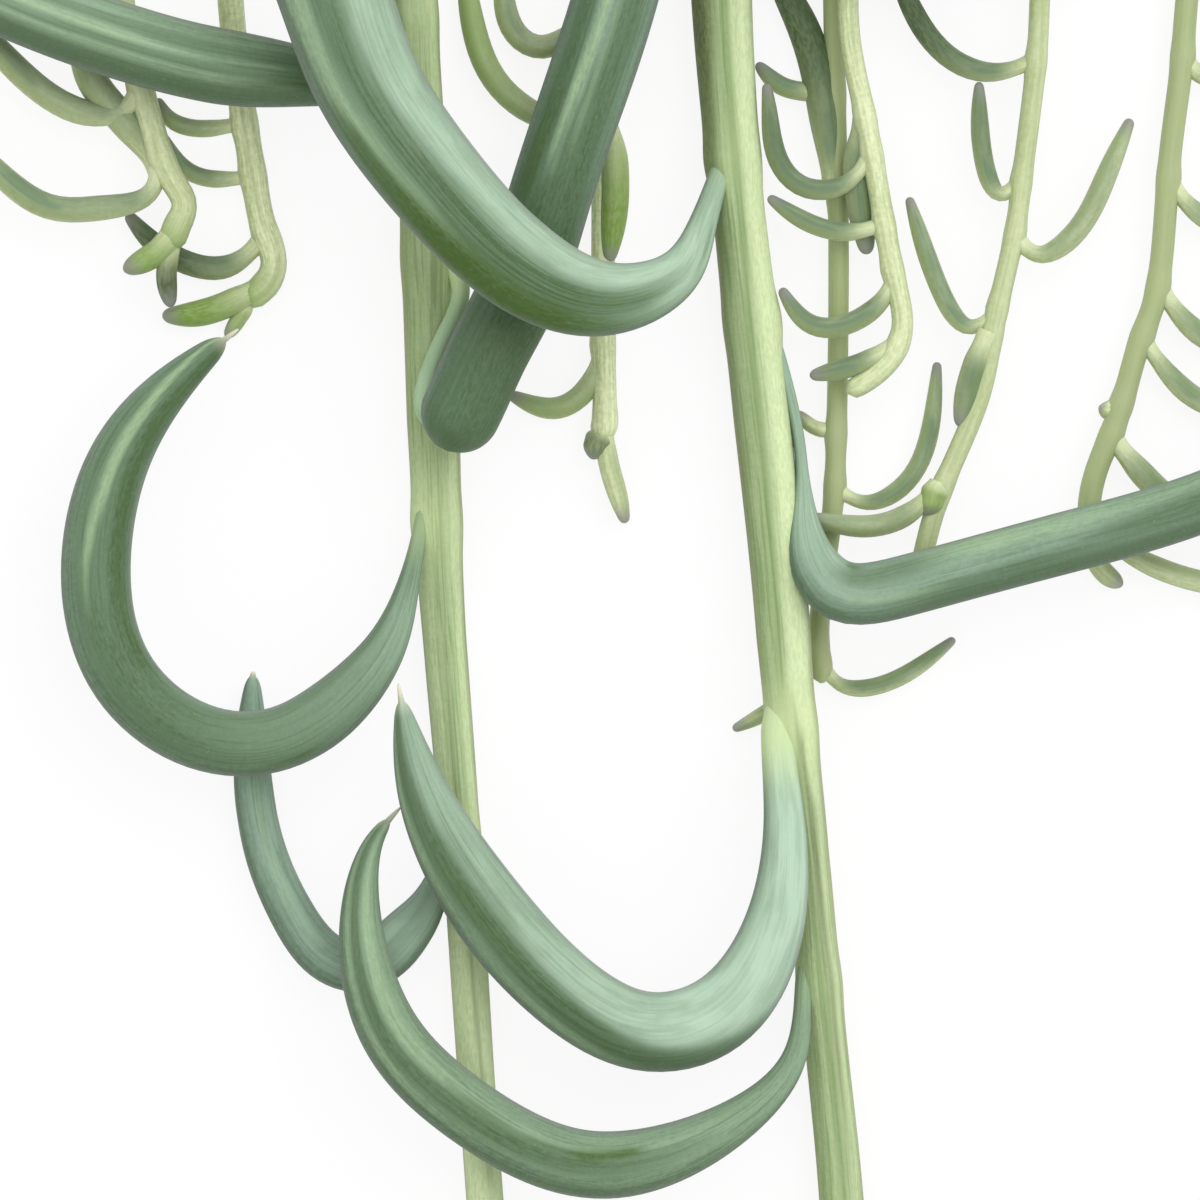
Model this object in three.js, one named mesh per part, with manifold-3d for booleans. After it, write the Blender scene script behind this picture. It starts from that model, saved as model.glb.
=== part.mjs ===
// String of bananas: a cut length of the trailing succulent, laid on a flat surface.
// Millimetres, +Z up. The crown stem lies along X and everything hangs from it towards -Y.
// The origin is the flat spot under the middle of the crown stem.
import * as THREE from "three";
import { mergeVertices } from "three/addons/utils/BufferGeometryUtils.js";
import Module from "manifold-3d";

// ---- driving dimensions, mm ----
const GAP = 0.4; // kept free round each stem, for what grows from it
const SURFACE_Z = 0; // what the plant lies on; anything lower is pressed flat against it

const STEM_SIDES = 8;
const STEM_RING_STEP = 4; // length of stem per ring of facets
const LEAF_SIDES = 8;
const LEAF_RINGS = 17;
const STALK_RINGS = 5;
const SHOOT_SIDES = 6;
const SHOOT_RING_STEP = 4;
const YOUNG_LEAF_SIDES = 5;
const YOUNG_LEAF_RINGS = 7;
const TAPER_POWER = 2.3; // how full the pointed end of a leaf is

// Diameters are spaced evenly from the crown to the growing tip.
const CROWN = {
  flat: true,
  diameters: [4.8, 4.7, 4.6, 4.4, 4.2, 3.4, 2.2],
  route: [
    [-50, -6.5, 2.3], [-42, -2.6, 2.2], [-31, -0.6, 2.2], [-20, 0.6, 2.1],
    [-10, 0.8, 2], [0, 0, 2], [10, -0.9, 1.9], [20, 0.2, 1.7],
    [27, -0.4, 1.4], [31, -4, 1.2], [31.6, -9, 1.1],
  ],
};

const LEFT_STEM = {
  diameters: [3.1, 3.1, 3, 3.1, 3.3, 2.7, 2.5, 2.3, 2.3, 2, 1.5],
  route: [
    [-20.1, 0, 2], [-19.8, -12, 1.8], [-19.2, -27.5, 1.7], [-18.5, -40, 1.7],
    [-17.9, -54.4, 1.7], [-17.4, -65, 1.6], [-16.4, -77.5, 1.5], [-15.4, -92.5, 1.4],
    [-14.7, -102.5, 1.3], [-14, -115, 1.2], [-14.4, -125, 1.1], [-15.9, -134, 1],
  ],
};

const RIGHT_STEM = {
  diameters: [3.8, 3.8, 3.8, 3.3, 3.5, 3.4, 2.6, 2.7, 2.9, 2.4, 1.6],
  route: [
    [-0.2, 0, 2], [-0.2, -12, 2.2], [0.1, -27.5, 2.3], [1.1, -40, 2.4],
    [2.5, -52.5, 2.6], [3.8, -65, 3.2], [4.4, -72, 3.4], [5.4, -80, 3],
    [6.1, -87.5, 2.4], [7, -96.2, 1.8], [7.6, -102.5, 1.6], [8.6, -115, 1.3],
    [10.3, -126.2, 1.1], [11.6, -134.4, 1],
  ],
};

// Each big leaf: thick is its greatest diameter; neck is the base's share of that; the leaf
// swells from start to full and tapers from hold to the tip, all as shares of its length.
const LEFT_LEAVES = [
  {
    thick: 4.4, neck: 0.3, full: 0.3, hold: 0.7,
    route: [
      [-20, -8.8, 1.9], [-20.5, -11.2, 3], [-23, -13, 4.1], [-28.4, -12.8, 5],
      [-35, -9.4, 6], [-41.2, -2.5, 7.3], [-45, 5, 6.9], [-47, 11, 5.9],
    ],
  },
  {
    thick: 4.8, neck: 0.3, full: 0.38, hold: 0.77,
    route: [
      [-19.3, -28.4, 2], [-19.8, -30.6, 2.6], [-21.4, -32.4, 3.6], [-26.2, -32.3, 4.8],
      [-32.5, -31.4, 5.4], [-45, -27.3, 5], [-55.3, -21.9, 3.6],
    ],
  },
  {
    thick: 5.35, neck: 0.55, full: 0.06, hold: 0.74, slim: 0.95,
    route: [
      [-17.4, -55.5, 6.4], [-15.9, -52.7, 6.4], [-14.4, -49.4, 6], [-12.4, -45.4, 5.3],
      [-10.25, -38.7, 5.1], [-6.6, -27.5, 5.2], [-3.8, -14.1, 5.5],
    ],
    // This one is bent so sharply that its round end lies over its own stalk.
    stalk: {
      diameters: [1.2, 1.1, 1.2, 1.7],
      route: [
        [-16.9, -43.6, 2.2], [-16.2, -45.8, 3.2], [-17.3, -48.7, 4], [-18.4, -51.9, 5],
        [-18.2, -53.3, 5.7], [-17.2, -54, 6.3],
      ],
    },
  },
  {
    thick: 4.4, neck: 0.25, full: 0.28, hold: 0.63, slim: 0.83, blunt: 0.26,
    route: [
      [-19.1, -60.3, 2.2], [-19.8, -65.2, 4], [-22, -69.5, 5], [-26.9, -73.4, 5.3],
      [-32.5, -73.5, 5.2], [-37.2, -69.9, 5], [-39, -63.8, 5], [-37.7, -56.6, 5],
      [-34.3, -51.7, 4.8], [-30, -48, 4.4],
    ],
  },
  {
    thick: 2.5, neck: 0.3, full: 0.24, hold: 0.7, slim: 1.5, blunt: 0.3,
    route: [
      [-16.9, -80.6, 1.6], [-18, -83.4, 1.7], [-19.7, -85.9, 1.7], [-22, -87.8, 1.7],
      [-24.6, -87.3, 1.7], [-26.8, -84.5, 1.6], [-28.4, -80.8, 1.4], [-29.2, -76.5, 1.3],
      [-29.3, -72.5, 1.2], [-29.2, -69.4, 1.2],
    ],
  },
  {
    thick: 4, neck: 0.25, full: 0.3, hold: 0.6,
    route: [
      [-14.6, -108, 1.5], [-15.1, -111.5, 2.4], [-18.1, -115, 2.6], [-24, -116, 2.4],
      [-31.2, -114.4, 2.2], [-38.8, -110, 2], [-45, -104.4, 1.8],
    ],
  },
  {
    thick: 3.6, neck: 0.25, full: 0.3, hold: 0.55,
    route: [
      [-13.8, -119.4, 1.4], [-13.2, -123, 2.2], [-10.5, -126.2, 2.2], [-6.1, -126.6, 2],
      [-2, -123, 1.9], [0, -117.5, 1.8], [0.5, -111, 1.6],
    ],
  },
  {
    thick: 2.8, neck: 0.25, full: 0.3, hold: 0.55,
    route: [
      [-15.1, -127, 1.2], [-16, -130.4, 1.9], [-18.6, -132.6, 1.8], [-22.5, -132.6, 1.6],
      [-26, -130, 1.5], [-27.8, -126, 1.3],
    ],
  },
];

const RIGHT_LEAVES = [
  {
    thick: 4.4, neck: 0.3, full: 0.3, hold: 0.7,
    route: [
      [0.5, -16.6, 2.6], [1.2, -20, 4.4], [4.1, -22.6, 5.8], [8.8, -23.6, 6.4],
      [16.2, -22.2, 6.4], [24.4, -17, 6.3], [30.6, -9.4, 6.3], [34, -1.2, 6.2],
    ],
  },
  {
    thick: 7.3, neck: 0.28, full: 0.4, hold: 0.84, slim: 0.66,
    route: [
      [-0.8, -37.8, 3.2], [-1.1, -41.6, 5.4], [-3, -44.9, 8.8], [-7.5, -46.2, 11.1],
      [-12.5, -44.1, 11.5], [-17.5, -39.2, 11.3], [-21.8, -33.2, 11], [-24, -27.5, 11],
      [-27.8, -15.6, 11],
    ],
  },
  {
    thick: 3.85, neck: 0.2, start: 0.16, full: 0.34, hold: 0.78,
    route: [
      [4.2, -47.5, 2.6], [5, -55.6, 3], [5.5, -61.6, 4], [7.5, -64.4, 4.9],
      [11.9, -64, 5], [21.2, -61.5, 5], [32.5, -57.9, 4.8], [41.2, -52.2, 4.2],
    ],
  },
  {
    thick: 5, neck: 0.42, full: 0.42, hold: 0.63, blunt: 0.14,
    route: [
      [3.6, -73.4, 4.2], [4, -79.4, 6], [3.1, -86.1, 6.1], [-0.1, -90.8, 5.9],
      [-5, -91.9, 5.7], [-10.2, -89, 5.5], [-14.8, -83.8, 5.5], [-18.5, -77, 6],
      [-20.1, -70.1, 6.8],
    ],
  },
  {
    thick: 4.2, neck: 0.25, full: 0.38, hold: 0.54, blunt: 0.14,
    route: [
      [5.2, -89.1, 3.2], [4.6, -93.6, 4.9], [1.4, -97.2, 5.4], [-4.4, -99.9, 5.3],
      [-10, -99.9, 5.1], [-16.2, -96.6, 5.1], [-20.6, -92, 5.7], [-22.4, -85.6, 6],
      [-21.7, -80.3, 5.2], [-19.9, -77.9, 4.4],
    ],
  },
  {
    thick: 4, neck: 0.25, full: 0.3, hold: 0.6,
    route: [
      [8.5, -107, 1.8], [9.1, -110.6, 2.6], [12.2, -114.1, 2.7], [17.5, -115, 2.5],
      [23.8, -112.5, 2.3], [29.4, -107.8, 2.1], [33.4, -101.2, 1.8],
    ],
  },
  {
    thick: 3.6, neck: 0.25, full: 0.3, hold: 0.55,
    route: [
      [10.2, -121.2, 1.5], [10.8, -124.8, 2.2], [13.4, -127.8, 2.2], [18.1, -128.2, 2],
      [22.8, -125.6, 1.9], [26.2, -120.6, 1.7], [27.5, -115, 1.5],
    ],
  },
  {
    thick: 2.8, neck: 0.25, full: 0.3, hold: 0.55,
    route: [
      [10.8, -130, 1.2], [10.2, -133.2, 1.7], [7.7, -135.8, 1.7], [3.6, -135.6, 1.6],
      [0.3, -132.8, 1.5], [-1.2, -128.8, 1.3],
    ],
  },
];

const CROWN_LEAVES = [
  {
    thick: 4.6, neck: 0.25, full: 0.3, hold: 0.65,
    route: [
      [-11, 1, 3.2], [-13.5, 3, 3.8], [-18, 4.6, 3.5], [-24, 6.6, 3], [-29, 10.4, 2.6],
      [-32, 16, 2.3], [-32.5, 23, 1.9],
    ],
  },
  {
    thick: 4.2, neck: 0.25, full: 0.3, hold: 0.65,
    route: [
      [2, 0.4, 3], [4.5, 2.4, 3.5], [8, 5.8, 3.1], [10.6, 10.8, 2.6], [11, 17, 2.3],
      [9, 23.6, 1.9],
    ],
  },
  {
    thick: 4.2, neck: 0.25, full: 0.3, hold: 0.65,
    route: [
      [16, 0.2, 2.8], [19.5, 2.6, 3.3], [25, 4.6, 2.9], [30, 8, 2.5], [33, 13, 2.3],
      [33.5, 19.6, 1.9],
    ],
  },
];

// The growing tips: a few short leaves round the end of a stem, points in X, Y at one height.
const TIPS = {
  left_tip: [
    { thick: 1.7, z: 1.1, points: [[-15.9, -133.4], [-17.2, -137.4], [-20, -140], [-23.5, -140]] },
    { thick: 1.6, z: 1, points: [[-15.9, -133.4], [-15.6, -137], [-13.8, -140.5], [-11, -142]] },
    { thick: 1.3, z: 0.9, points: [[-15.9, -133.4], [-16.8, -138.5], [-17.2, -143]] },
  ],
  right_tip: [
    { thick: 1.7, z: 1.1, points: [[11.4, -133.6], [13, -137], [16, -139.3], [19.5, -138.6]] },
    { thick: 1.6, z: 1, points: [[11.5, -133.8], [11.6, -138], [9.8, -141.3], [6.8, -142]] },
    { thick: 1.3, z: 0.9, points: [[11.5, -133.8], [12.4, -138.5], [14, -142.6]] },
  ],
};

// Each shoot: a thin stem and the small leaves that stay joined to it. Leaves have their
// points in X, Y at one height; plain lists the Y and the side of its hook-shaped leaves.
const SHOOTS = {
  shoot_1: {
    diameter: 1.6,
    route: [
      [-38.8, -1.8, 2.1], [-38.4, -12, 1.6], [-37.4, -27.5, 1.5], [-36.2, -33, 1.9],
      [-35.4, -35.8, 2.3], [-34.4, -38.5, 2.6], [-33.5, -40.2, 2.7], [-33.9, -41.6, 2.7],
      [-34.6, -43, 2.6],
    ],
    leaves: [
      {
        thick: 1.7, z: 2,
        points: [[-36.2, -33], [-37.4, -34.4], [-39.8, -34.5], [-43.1, -32.6], [-47.8, -27.5]],
      },
      {
        thick: 1.6, z: 2.5,
        points: [[-35, -37.8], [-35.8, -39.7], [-38.8, -40.5], [-42.5, -40.2], [-47.8, -35.3]],
      },
      {
        thick: 2, z: 1.6,
        points: [[-34.9, -38.2], [-36.2, -36.3], [-38, -34.2], [-39.5, -32], [-40.1, -28.8]],
      },
      { thick: 1.6, z: 2.7, points: [[-34, -41.6], [-35, -43.1], [-37.3, -44.4]] },
      { thick: 1.3, z: 2.5, points: [[-34.2, -42.5], [-34.6, -44.6], [-34.3, -46.7]] },
    ],
    plain: [[-7, -1], [-14, -1], [-21, -1]],
  },
  shoot_2: {
    diameter: 1.65,
    route: [
      [-32.2, -0.8, 2.1], [-31.6, -12, 1.1], [-30.6, -27.5, 0.9], [-29.9, -34, 0.9],
      [-29.1, -39, 0.9], [-28.5, -41.8, 0.9], [-27.9, -43.9, 0.9], [-28.6, -45.5, 0.9],
      [-29.8, -46.1, 0.9],
    ],
    leaves: [
      { thick: 1.1, z: 0.7, points: [[-30, -35.2], [-32.6, -35.5], [-34.4, -34.9], [-35.2, -33.6]] },
      { thick: 1.1, z: 0.7, points: [[-29.2, -38.5], [-32.1, -38.6], [-33.8, -37.7], [-34.9, -35.8]] },
      {
        thick: 1.5, z: 0.8,
        points: [[-28.6, -42.4], [-30.3, -43.9], [-32.2, -44.2], [-35, -43], [-37.1, -40.8]],
      },
      { thick: 1.7, z: 0.9, points: [[-28.4, -45.2], [-30.6, -46.4], [-32.8, -47.1], [-34.9, -47.2]] },
      { thick: 1, z: 0.7, points: [[-29.4, -46.2], [-30.1, -47.4], [-30.9, -48.6]] },
    ],
    plain: [[-6, -1], [-10, 1], [-16, -1], [-20, 1]],
  },
  shoot_3: {
    diameter: 1.5,
    route: [
      [-8.2, 0, 2], [-7.8, -15, 1.2], [-7.5, -27.5, 1.2], [-7.3, -40, 1.2],
      [-7.3, -48.4, 1.2], [-7.2, -53, 1.2], [-7.3, -55, 1.2],
    ],
    leaves: [
      {
        thick: 1.6, z: 1.1,
        points: [[-7.5, -35.5], [-10, -35.2], [-12.8, -33.8], [-14.9, -30.9], [-16.1, -24.4]],
      },
      {
        thick: 1.5, z: 1.1,
        points: [[-7.5, -27.8], [-9.2, -29.5], [-11.2, -30.4], [-13, -29.2], [-13.6, -24.7]],
      },
      { thick: 1.4, z: 1.1, points: [[-7.3, -49.1], [-8.2, -51.6], [-10.3, -53], [-13.2, -52.1]] },
      { thick: 1.8, z: 1.6, points: [[-7.3, -34.4], [-6.7, -36.9], [-6.6, -40.3], [-7, -43.9]] },
      { thick: 1.3, z: 1.1, points: [[-7.2, -53.9], [-7, -56.2], [-6.4, -58.4], [-5.9, -60.2]] },
      { thick: 1.6, z: 1.1, points: [[-7.3, -54.4], [-7.7, -55.3], [-8, -56.2]] },
    ],
    plain: [[-8, -1], [-15, -1], [-21, -1]],
  },
  shoot_4: {
    diameter: 1.35,
    route: [
      [11.6, 0, 2], [10.2, -12, 2.7], [8, -27.5, 3.1], [8.9, -33.9, 3.1],
      [10.05, -40.2, 3.1], [10.95, -45, 3.1], [11.4, -47.8, 3], [10.7, -49.9, 3],
      [9.2, -51.3, 2.9], [7.9, -52, 2.8],
    ],
    leaves: [
      {
        thick: 1.3, z: 3.1,
        points: [
          [9.4, -37.2], [7.8, -39], [5.3, -39.2], [3.6, -37.4], [3.1, -34.6], [2.9, -32.7],
        ],
      },
      { thick: 1.2, z: 3.1, points: [[10.2, -41.5], [8.1, -42], [5.5, -41.4], [3, -39.8]] },
      {
        thick: 1.3, z: 3.1,
        points: [[11, -44.5], [10, -46.4], [7.5, -47.9], [5.4, -47.6], [3.8, -45.5]],
      },
      { thick: 1.8, z: 2.2, points: [[9.1, -34.7], [8.6, -37.5], [8.8, -40.3], [9.2, -43.4]] },
      { thick: 1.3, z: 2.9, points: [[11, -49], [8.8, -50.2], [5.6, -51]] },
    ],
    plain: [[-8, 1], [-21, 1]],
  },
  shoot_5: {
    diameter: 1.3,
    route: [
      [6.6, 0, 2], [6.9, -12, 1.1], [7.1, -27.5, 0.9], [7.4, -40.2, 0.9],
      [7.4, -48.2, 0.9], [7.2, -57.2, 0.9], [6.8, -61.4, 0.9], [6.2, -66.9, 0.9],
      [6.4, -70.2, 0.9],
    ],
    leaves: [
      { thick: 1.1, z: 0.8, points: [[6.4, -69.1], [7.8, -70.4], [10.9, -70], [14.7, -67.4]] },
      { thick: 1.1, z: 0.7, points: [[6.2, -68.1], [4.7, -70.6], [2.8, -72.1], [0.8, -73.1]] },
      { thick: 1.2, z: 0.8, points: [[7.1, -33.5], [5.3, -33.2], [3.8, -32.8], [2.3, -31.4]] },
      {
        thick: 2.1, z: 0.8,
        points: [[7.2, -39.7], [6.8, -36.2], [5.9, -31.2], [4.7, -28.1], [2.8, -24.7]],
      },
      { thick: 0.9, z: 0.8, points: [[7.2, -54.4], [5.9, -54.2], [4.8, -53.2]] },
      {
        thick: 1.2, z: 0.9,
        points: [[7.2, -58], [9.2, -58.9], [11.5, -57.8], [13, -55], [13.6, -50.1]],
      },
    ],
    plain: [[-21, 1]],
  },
  shoot_6: {
    diameter: 1.3,
    route: [
      [20.6, 0, 2], [20.4, -12, 2], [20, -27.5, 2.1], [19.7, -32.2, 2.1],
      [18.9, -38.6, 2.1], [18.4, -42.2, 2.1], [17.2, -47.6, 2.2], [16.2, -52.4, 2.3],
      [14, -57.8, 2.3], [12.9, -61.4, 1.9], [12.5, -63.2, 1.4],
    ],
    leaves: [
      {
        thick: 1.4, z: 2,
        points: [[19.8, -31.2], [17.1, -32], [14.4, -31.1], [12.2, -28.4], [10.5, -24.1]],
      },
      { thick: 1.2, z: 2, points: [[18.8, -38.8], [17.5, -39.6], [16.5, -37.5], [16.2, -32.6]] },
      {
        thick: 1.4, z: 2.1,
        points: [[18.4, -42.2], [20, -43.4], [22.4, -41.8], [24.1, -38.6], [25.7, -34.9]],
      },
      { thick: 1.2, z: 2.1, points: [[17.4, -47], [15.5, -47.9], [13.6, -45.2], [11.8, -39.8]] },
      { thick: 1.6, z: 2.4, points: [[16.8, -48.2], [15.8, -50.8], [15, -54.2]] },
      { thick: 1.4, z: 2.5, points: [[13.6, -58], [11.6, -59.7], [9, -60.4], [5.4, -59.8]] },
      { thick: 1.6, z: 2.5, points: [[13.7, -57.6], [13.3, -58.7], [13, -59.8]] },
    ],
    plain: [[-9, 1], [-16, -1], [-23, 1]],
  },
  shoot_7: {
    diameter: 1.45,
    route: [
      [31.6, -8.5, 1.2], [30.4, -17, 1.3], [29.2, -27.5, 1.3], [28.8, -32.2, 1.3],
      [28.1, -37.9, 1.3], [27.3, -45.8, 1.3], [26.2, -49, 1.3], [25, -53.2, 1.3],
      [23.8, -56.2, 1.3], [23.1, -59.1, 1.3], [23.4, -62.5, 1.2],
    ],
    leaves: [
      { thick: 1.4, z: 1.2, points: [[28.9, -30.9], [30.3, -32.2], [32.5, -31.4], [34.1, -27.5]] },
      { thick: 1.4, z: 1.2, points: [[28.1, -38.8], [30.2, -41], [33.1, -41.4], [35.5, -36.9]] },
      { thick: 1.5, z: 1.2, points: [[27.4, -45.3], [30.1, -48.4], [33.2, -48.8], [35.9, -44.4]] },
      { thick: 1.4, z: 1.2, points: [[26.4, -48.6], [29.5, -52.2], [32.5, -52.8], [35.6, -49.4]] },
      { thick: 1.6, z: 1.2, points: [[24.5, -54.8], [26.9, -57.6], [29.4, -59.4], [31.9, -59.7]] },
      {
        thick: 1.4, z: 1.2,
        points: [[23.4, -60.6], [25.6, -62.1], [29.1, -63.6], [33.1, -63.8], [35.6, -61.6]],
      },
      { thick: 1.3, z: 1, points: [[23.4, -61.8], [23.9, -63.1], [25.2, -64.1]] },
      { thick: 1.2, z: 1.2, points: [[25, -52.8], [24.4, -53.1], [23.7, -52.9]] },
    ],
    plain: [[-14, 1], [-19, -1], [-23, 1]],
  },
};

const SMALL_LEAF = { neck: 0.6, full: 0.35, hold: 0.55, blunt: 0.42 };
const PLAIN_LEAF_THICK = 1.3;
// The hook of a plain small leaf, as offsets from its base, for the +X side.
const PLAIN_LEAF_HOOK = [[0, 0], [0.8, -1.5], [2.6, -1.9], [4.4, -0.4], [5.2, 2]];

const COLOURS = { stem: 0xb4c48a, crown: 0xa39a6c, leaf: 0x7fa68a, shoot: 0x93ab72 };

// ---- solids ----
const wasm = await Module();
wasm.setup();

const UP = new THREE.Vector3(0, 0, 1);

function curveThrough(route) {
  const points = route.map((p) => new THREE.Vector3(...p));
  return new THREE.CatmullRomCurve3(points, false, "centripetal");
}

function smooth(x) {
  const t = THREE.MathUtils.clamp(x, 0, 1);
  return t * t * (3 - 2 * t);
}

// Diameters spaced evenly along a stem, joined by straight slopes.
function stemRadius(diameters) {
  const last = diameters.length - 1;
  return (u) => {
    const i = Math.min(Math.floor(u * last), last - 1);
    return THREE.MathUtils.lerp(diameters[i], diameters[i + 1], u * last - i) / 2;
  };
}

// A banana leaf: a narrow neck, a swell to full thickness, then a pointed end. slim is its
// thickness near the base as a share of that at hold; blunt is the share left near the tip.
function leafRadius({ thick, neck, full, hold, start = 0, slim = 1, blunt = 0 }) {
  return (u) => {
    if (u === 1) return 0;
    const swell = neck + (1 - neck) * smooth((u - start) / (full - start));
    const growth = THREE.MathUtils.lerp(slim, 1, Math.min(u / hold, 1));
    const gone = Math.max((u - hold) / (1 - hold), 0) ** TAPER_POWER;
    return (thick / 2) * growth * swell * (1 - (1 - blunt) * gone);
  };
}

// A closed tube of varying radius along a curve. Its facets straddle the true round section.
// With flat, a facet faces down; otherwise a corner does. A zero radius ends it in a point.
function sweep(route, radiusAt, { sides, rings, flat = false }) {
  const curve = curveThrough(route);
  const facetScale = (1 + 1 / Math.cos(Math.PI / sides)) / 2;
  const turn = flat ? Math.PI / sides : 0;
  const positions = [];
  const index = [];
  const addPoint = (p) => positions.push(p.x, p.y, Math.max(p.z, SURFACE_Z)) / 3 - 1;
  const first = addPoint(curve.getPointAt(0));
  let previous = null;
  for (let i = 0; i <= rings; i++) {
    const u = i / rings;
    const centre = curve.getPointAt(u);
    const radius = radiusAt(u) * facetScale;
    const ahead = curve.getTangentAt(u);
    const across = ahead.clone().cross(UP).normalize();
    const over = across.clone().cross(ahead);
    const isPoint = i === rings && radius < 1e-6;
    const ring = [];
    for (let k = 0; k < sides; k++) {
      const angle = turn + Math.PI / 2 + (2 * Math.PI * k) / sides;
      const point = centre.clone();
      point.addScaledVector(across, radius * Math.cos(angle));
      point.addScaledVector(over, radius * Math.sin(angle));
      ring.push(isPoint && k > 0 ? ring[0] : addPoint(point));
    }
    for (let k = 0; k < sides; k++) {
      const next = (k + 1) % sides;
      if (!previous) {
        index.push(first, ring[k], ring[next]);
        continue;
      }
      index.push(previous[k], ring[k], previous[next]);
      if (!isPoint) index.push(previous[next], ring[k], ring[next]);
    }
    previous = ring;
  }
  if (previous[0] !== previous[1]) {
    const end = addPoint(curve.getPointAt(1));
    for (let k = 0; k < sides; k++) index.push(end, previous[(k + 1) % sides], previous[k]);
  }
  const geometry = new THREE.BufferGeometry();
  geometry.setAttribute("position", new THREE.Float32BufferAttribute(positions, 3));
  geometry.setIndex(index);
  return geometry;
}

function toSolid(geometry) {
  const merged = mergeVertices(geometry, 1e-4);
  return new wasm.Manifold(
    new wasm.Mesh({
      numProp: 3,
      vertProperties: merged.attributes.position.array,
      triVerts: new Uint32Array(merged.index.array),
    }),
  );
}

function toGeometry(solid) {
  const mesh = solid.getMesh();
  const geometry = new THREE.BufferGeometry();
  geometry.setAttribute("position", new THREE.BufferAttribute(mesh.vertProperties, 3));
  geometry.setIndex(new THREE.BufferAttribute(mesh.triVerts, 1));
  return geometry;
}

function largestBody(solid) {
  return solid.decompose().reduce((a, b) => (b.volume() > a.volume() ? b : a));
}

// A route carried on past its end, so that a neighbour also keeps clear of the end face.
function lengthened(route, extra) {
  const [before, end] = route.slice(-2).map((p) => new THREE.Vector3(...p));
  const past = end.clone().add(end.clone().sub(before).setLength(extra));
  return [...route.slice(0, -1), past.toArray()];
}

function routeLength(route) {
  return curveThrough(route).getLength();
}

function stemSolid({ route, diameters, flat }, grow = 0) {
  const radiusAt = stemRadius(diameters);
  const rings = Math.round(routeLength(route) / STEM_RING_STEP);
  return toSolid(sweep(route, (u) => radiusAt(u) + grow, { sides: STEM_SIDES, rings, flat }));
}

// The space that a stem's neighbours keep out of.
function stemSpace(stem) {
  return stemSolid({ ...stem, route: lengthened(stem.route, GAP) }, GAP);
}

function leafSolid(leaf) {
  const blade = sweep(leaf.route, leafRadius(leaf), { sides: LEAF_SIDES, rings: LEAF_RINGS });
  if (!leaf.stalk) return toSolid(blade);
  const { route, diameters } = leaf.stalk;
  const stalk = sweep(route, stemRadius(diameters), { sides: LEAF_SIDES, rings: STALK_RINGS });
  return toSolid(blade).add(toSolid(stalk));
}

function smallLeafSolid({ thick, z, points }) {
  const route = points.map(([x, y]) => [x, y, z]);
  const radiusAt = leafRadius({ thick, ...SMALL_LEAF });
  return toSolid(sweep(route, radiusAt, { sides: YOUNG_LEAF_SIDES, rings: YOUNG_LEAF_RINGS }));
}

// The point of a route at a given Y, for placing a leaf on a shoot that runs down -Y.
function pointAtY(route, y) {
  const i = route.findIndex((p) => p[1] <= y);
  const [above, below] = [route[i - 1], route[i]];
  const t = (y - above[1]) / (below[1] - above[1]);
  return above.map((value, axis) => THREE.MathUtils.lerp(value, below[axis], t));
}

function plainLeaf(route, [y, side]) {
  const [x, , z] = pointAtY(route, y);
  const points = PLAIN_LEAF_HOOK.map(([dx, dy]) => [x + side * dx, y + dy]);
  return { thick: PLAIN_LEAF_THICK, z, points };
}

function shootSolid({ route, diameter, leaves, plain }) {
  const rings = Math.round(routeLength(route) / SHOOT_RING_STEP);
  const stem = toSolid(sweep(route, () => diameter / 2, { sides: SHOOT_SIDES, rings }));
  const all = [...leaves, ...plain.map((place) => plainLeaf(route, place))];
  return all.reduce((solid, leaf) => solid.add(smallLeafSolid(leaf)), stem);
}

// ---- the plant ----
const plant = new THREE.Group();

function addPiece(name, solid, colour) {
  const material = new THREE.MeshStandardMaterial({ color: colour, roughness: 0.6 });
  const piece = new THREE.Mesh(toGeometry(largestBody(solid)), material);
  piece.name = name;
  plant.add(piece);
}

const crownSpace = stemSpace(CROWN);
addPiece("crown_stem", stemSolid(CROWN), COLOURS.crown);
addPiece("left_stem", stemSolid(LEFT_STEM).subtract(crownSpace), COLOURS.stem);
addPiece("right_stem", stemSolid(RIGHT_STEM).subtract(crownSpace), COLOURS.stem);

const BRANCHES = [
  { side: "left", stem: LEFT_STEM, leaves: LEFT_LEAVES },
  { side: "right", stem: RIGHT_STEM, leaves: RIGHT_LEAVES },
  { side: "crown", stem: CROWN, leaves: CROWN_LEAVES },
];
for (const { side, stem, leaves } of BRANCHES) {
  const space = stemSpace(stem);
  leaves.forEach((leaf, i) => {
    addPiece(`${side}_leaf_${i + 1}`, leafSolid(leaf).subtract(space), COLOURS.leaf);
  });
  const tip = TIPS[`${side}_tip`];
  if (tip) {
    const tuft = tip.map(smallLeafSolid).reduce((a, b) => a.add(b));
    addPiece(`${side}_tip`, tuft.subtract(space), COLOURS.leaf);
  }
}

for (const [name, shoot] of Object.entries(SHOOTS)) {
  addPiece(name, shootSolid(shoot).subtract(crownSpace), COLOURS.shoot);
}

export default plant;
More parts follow.
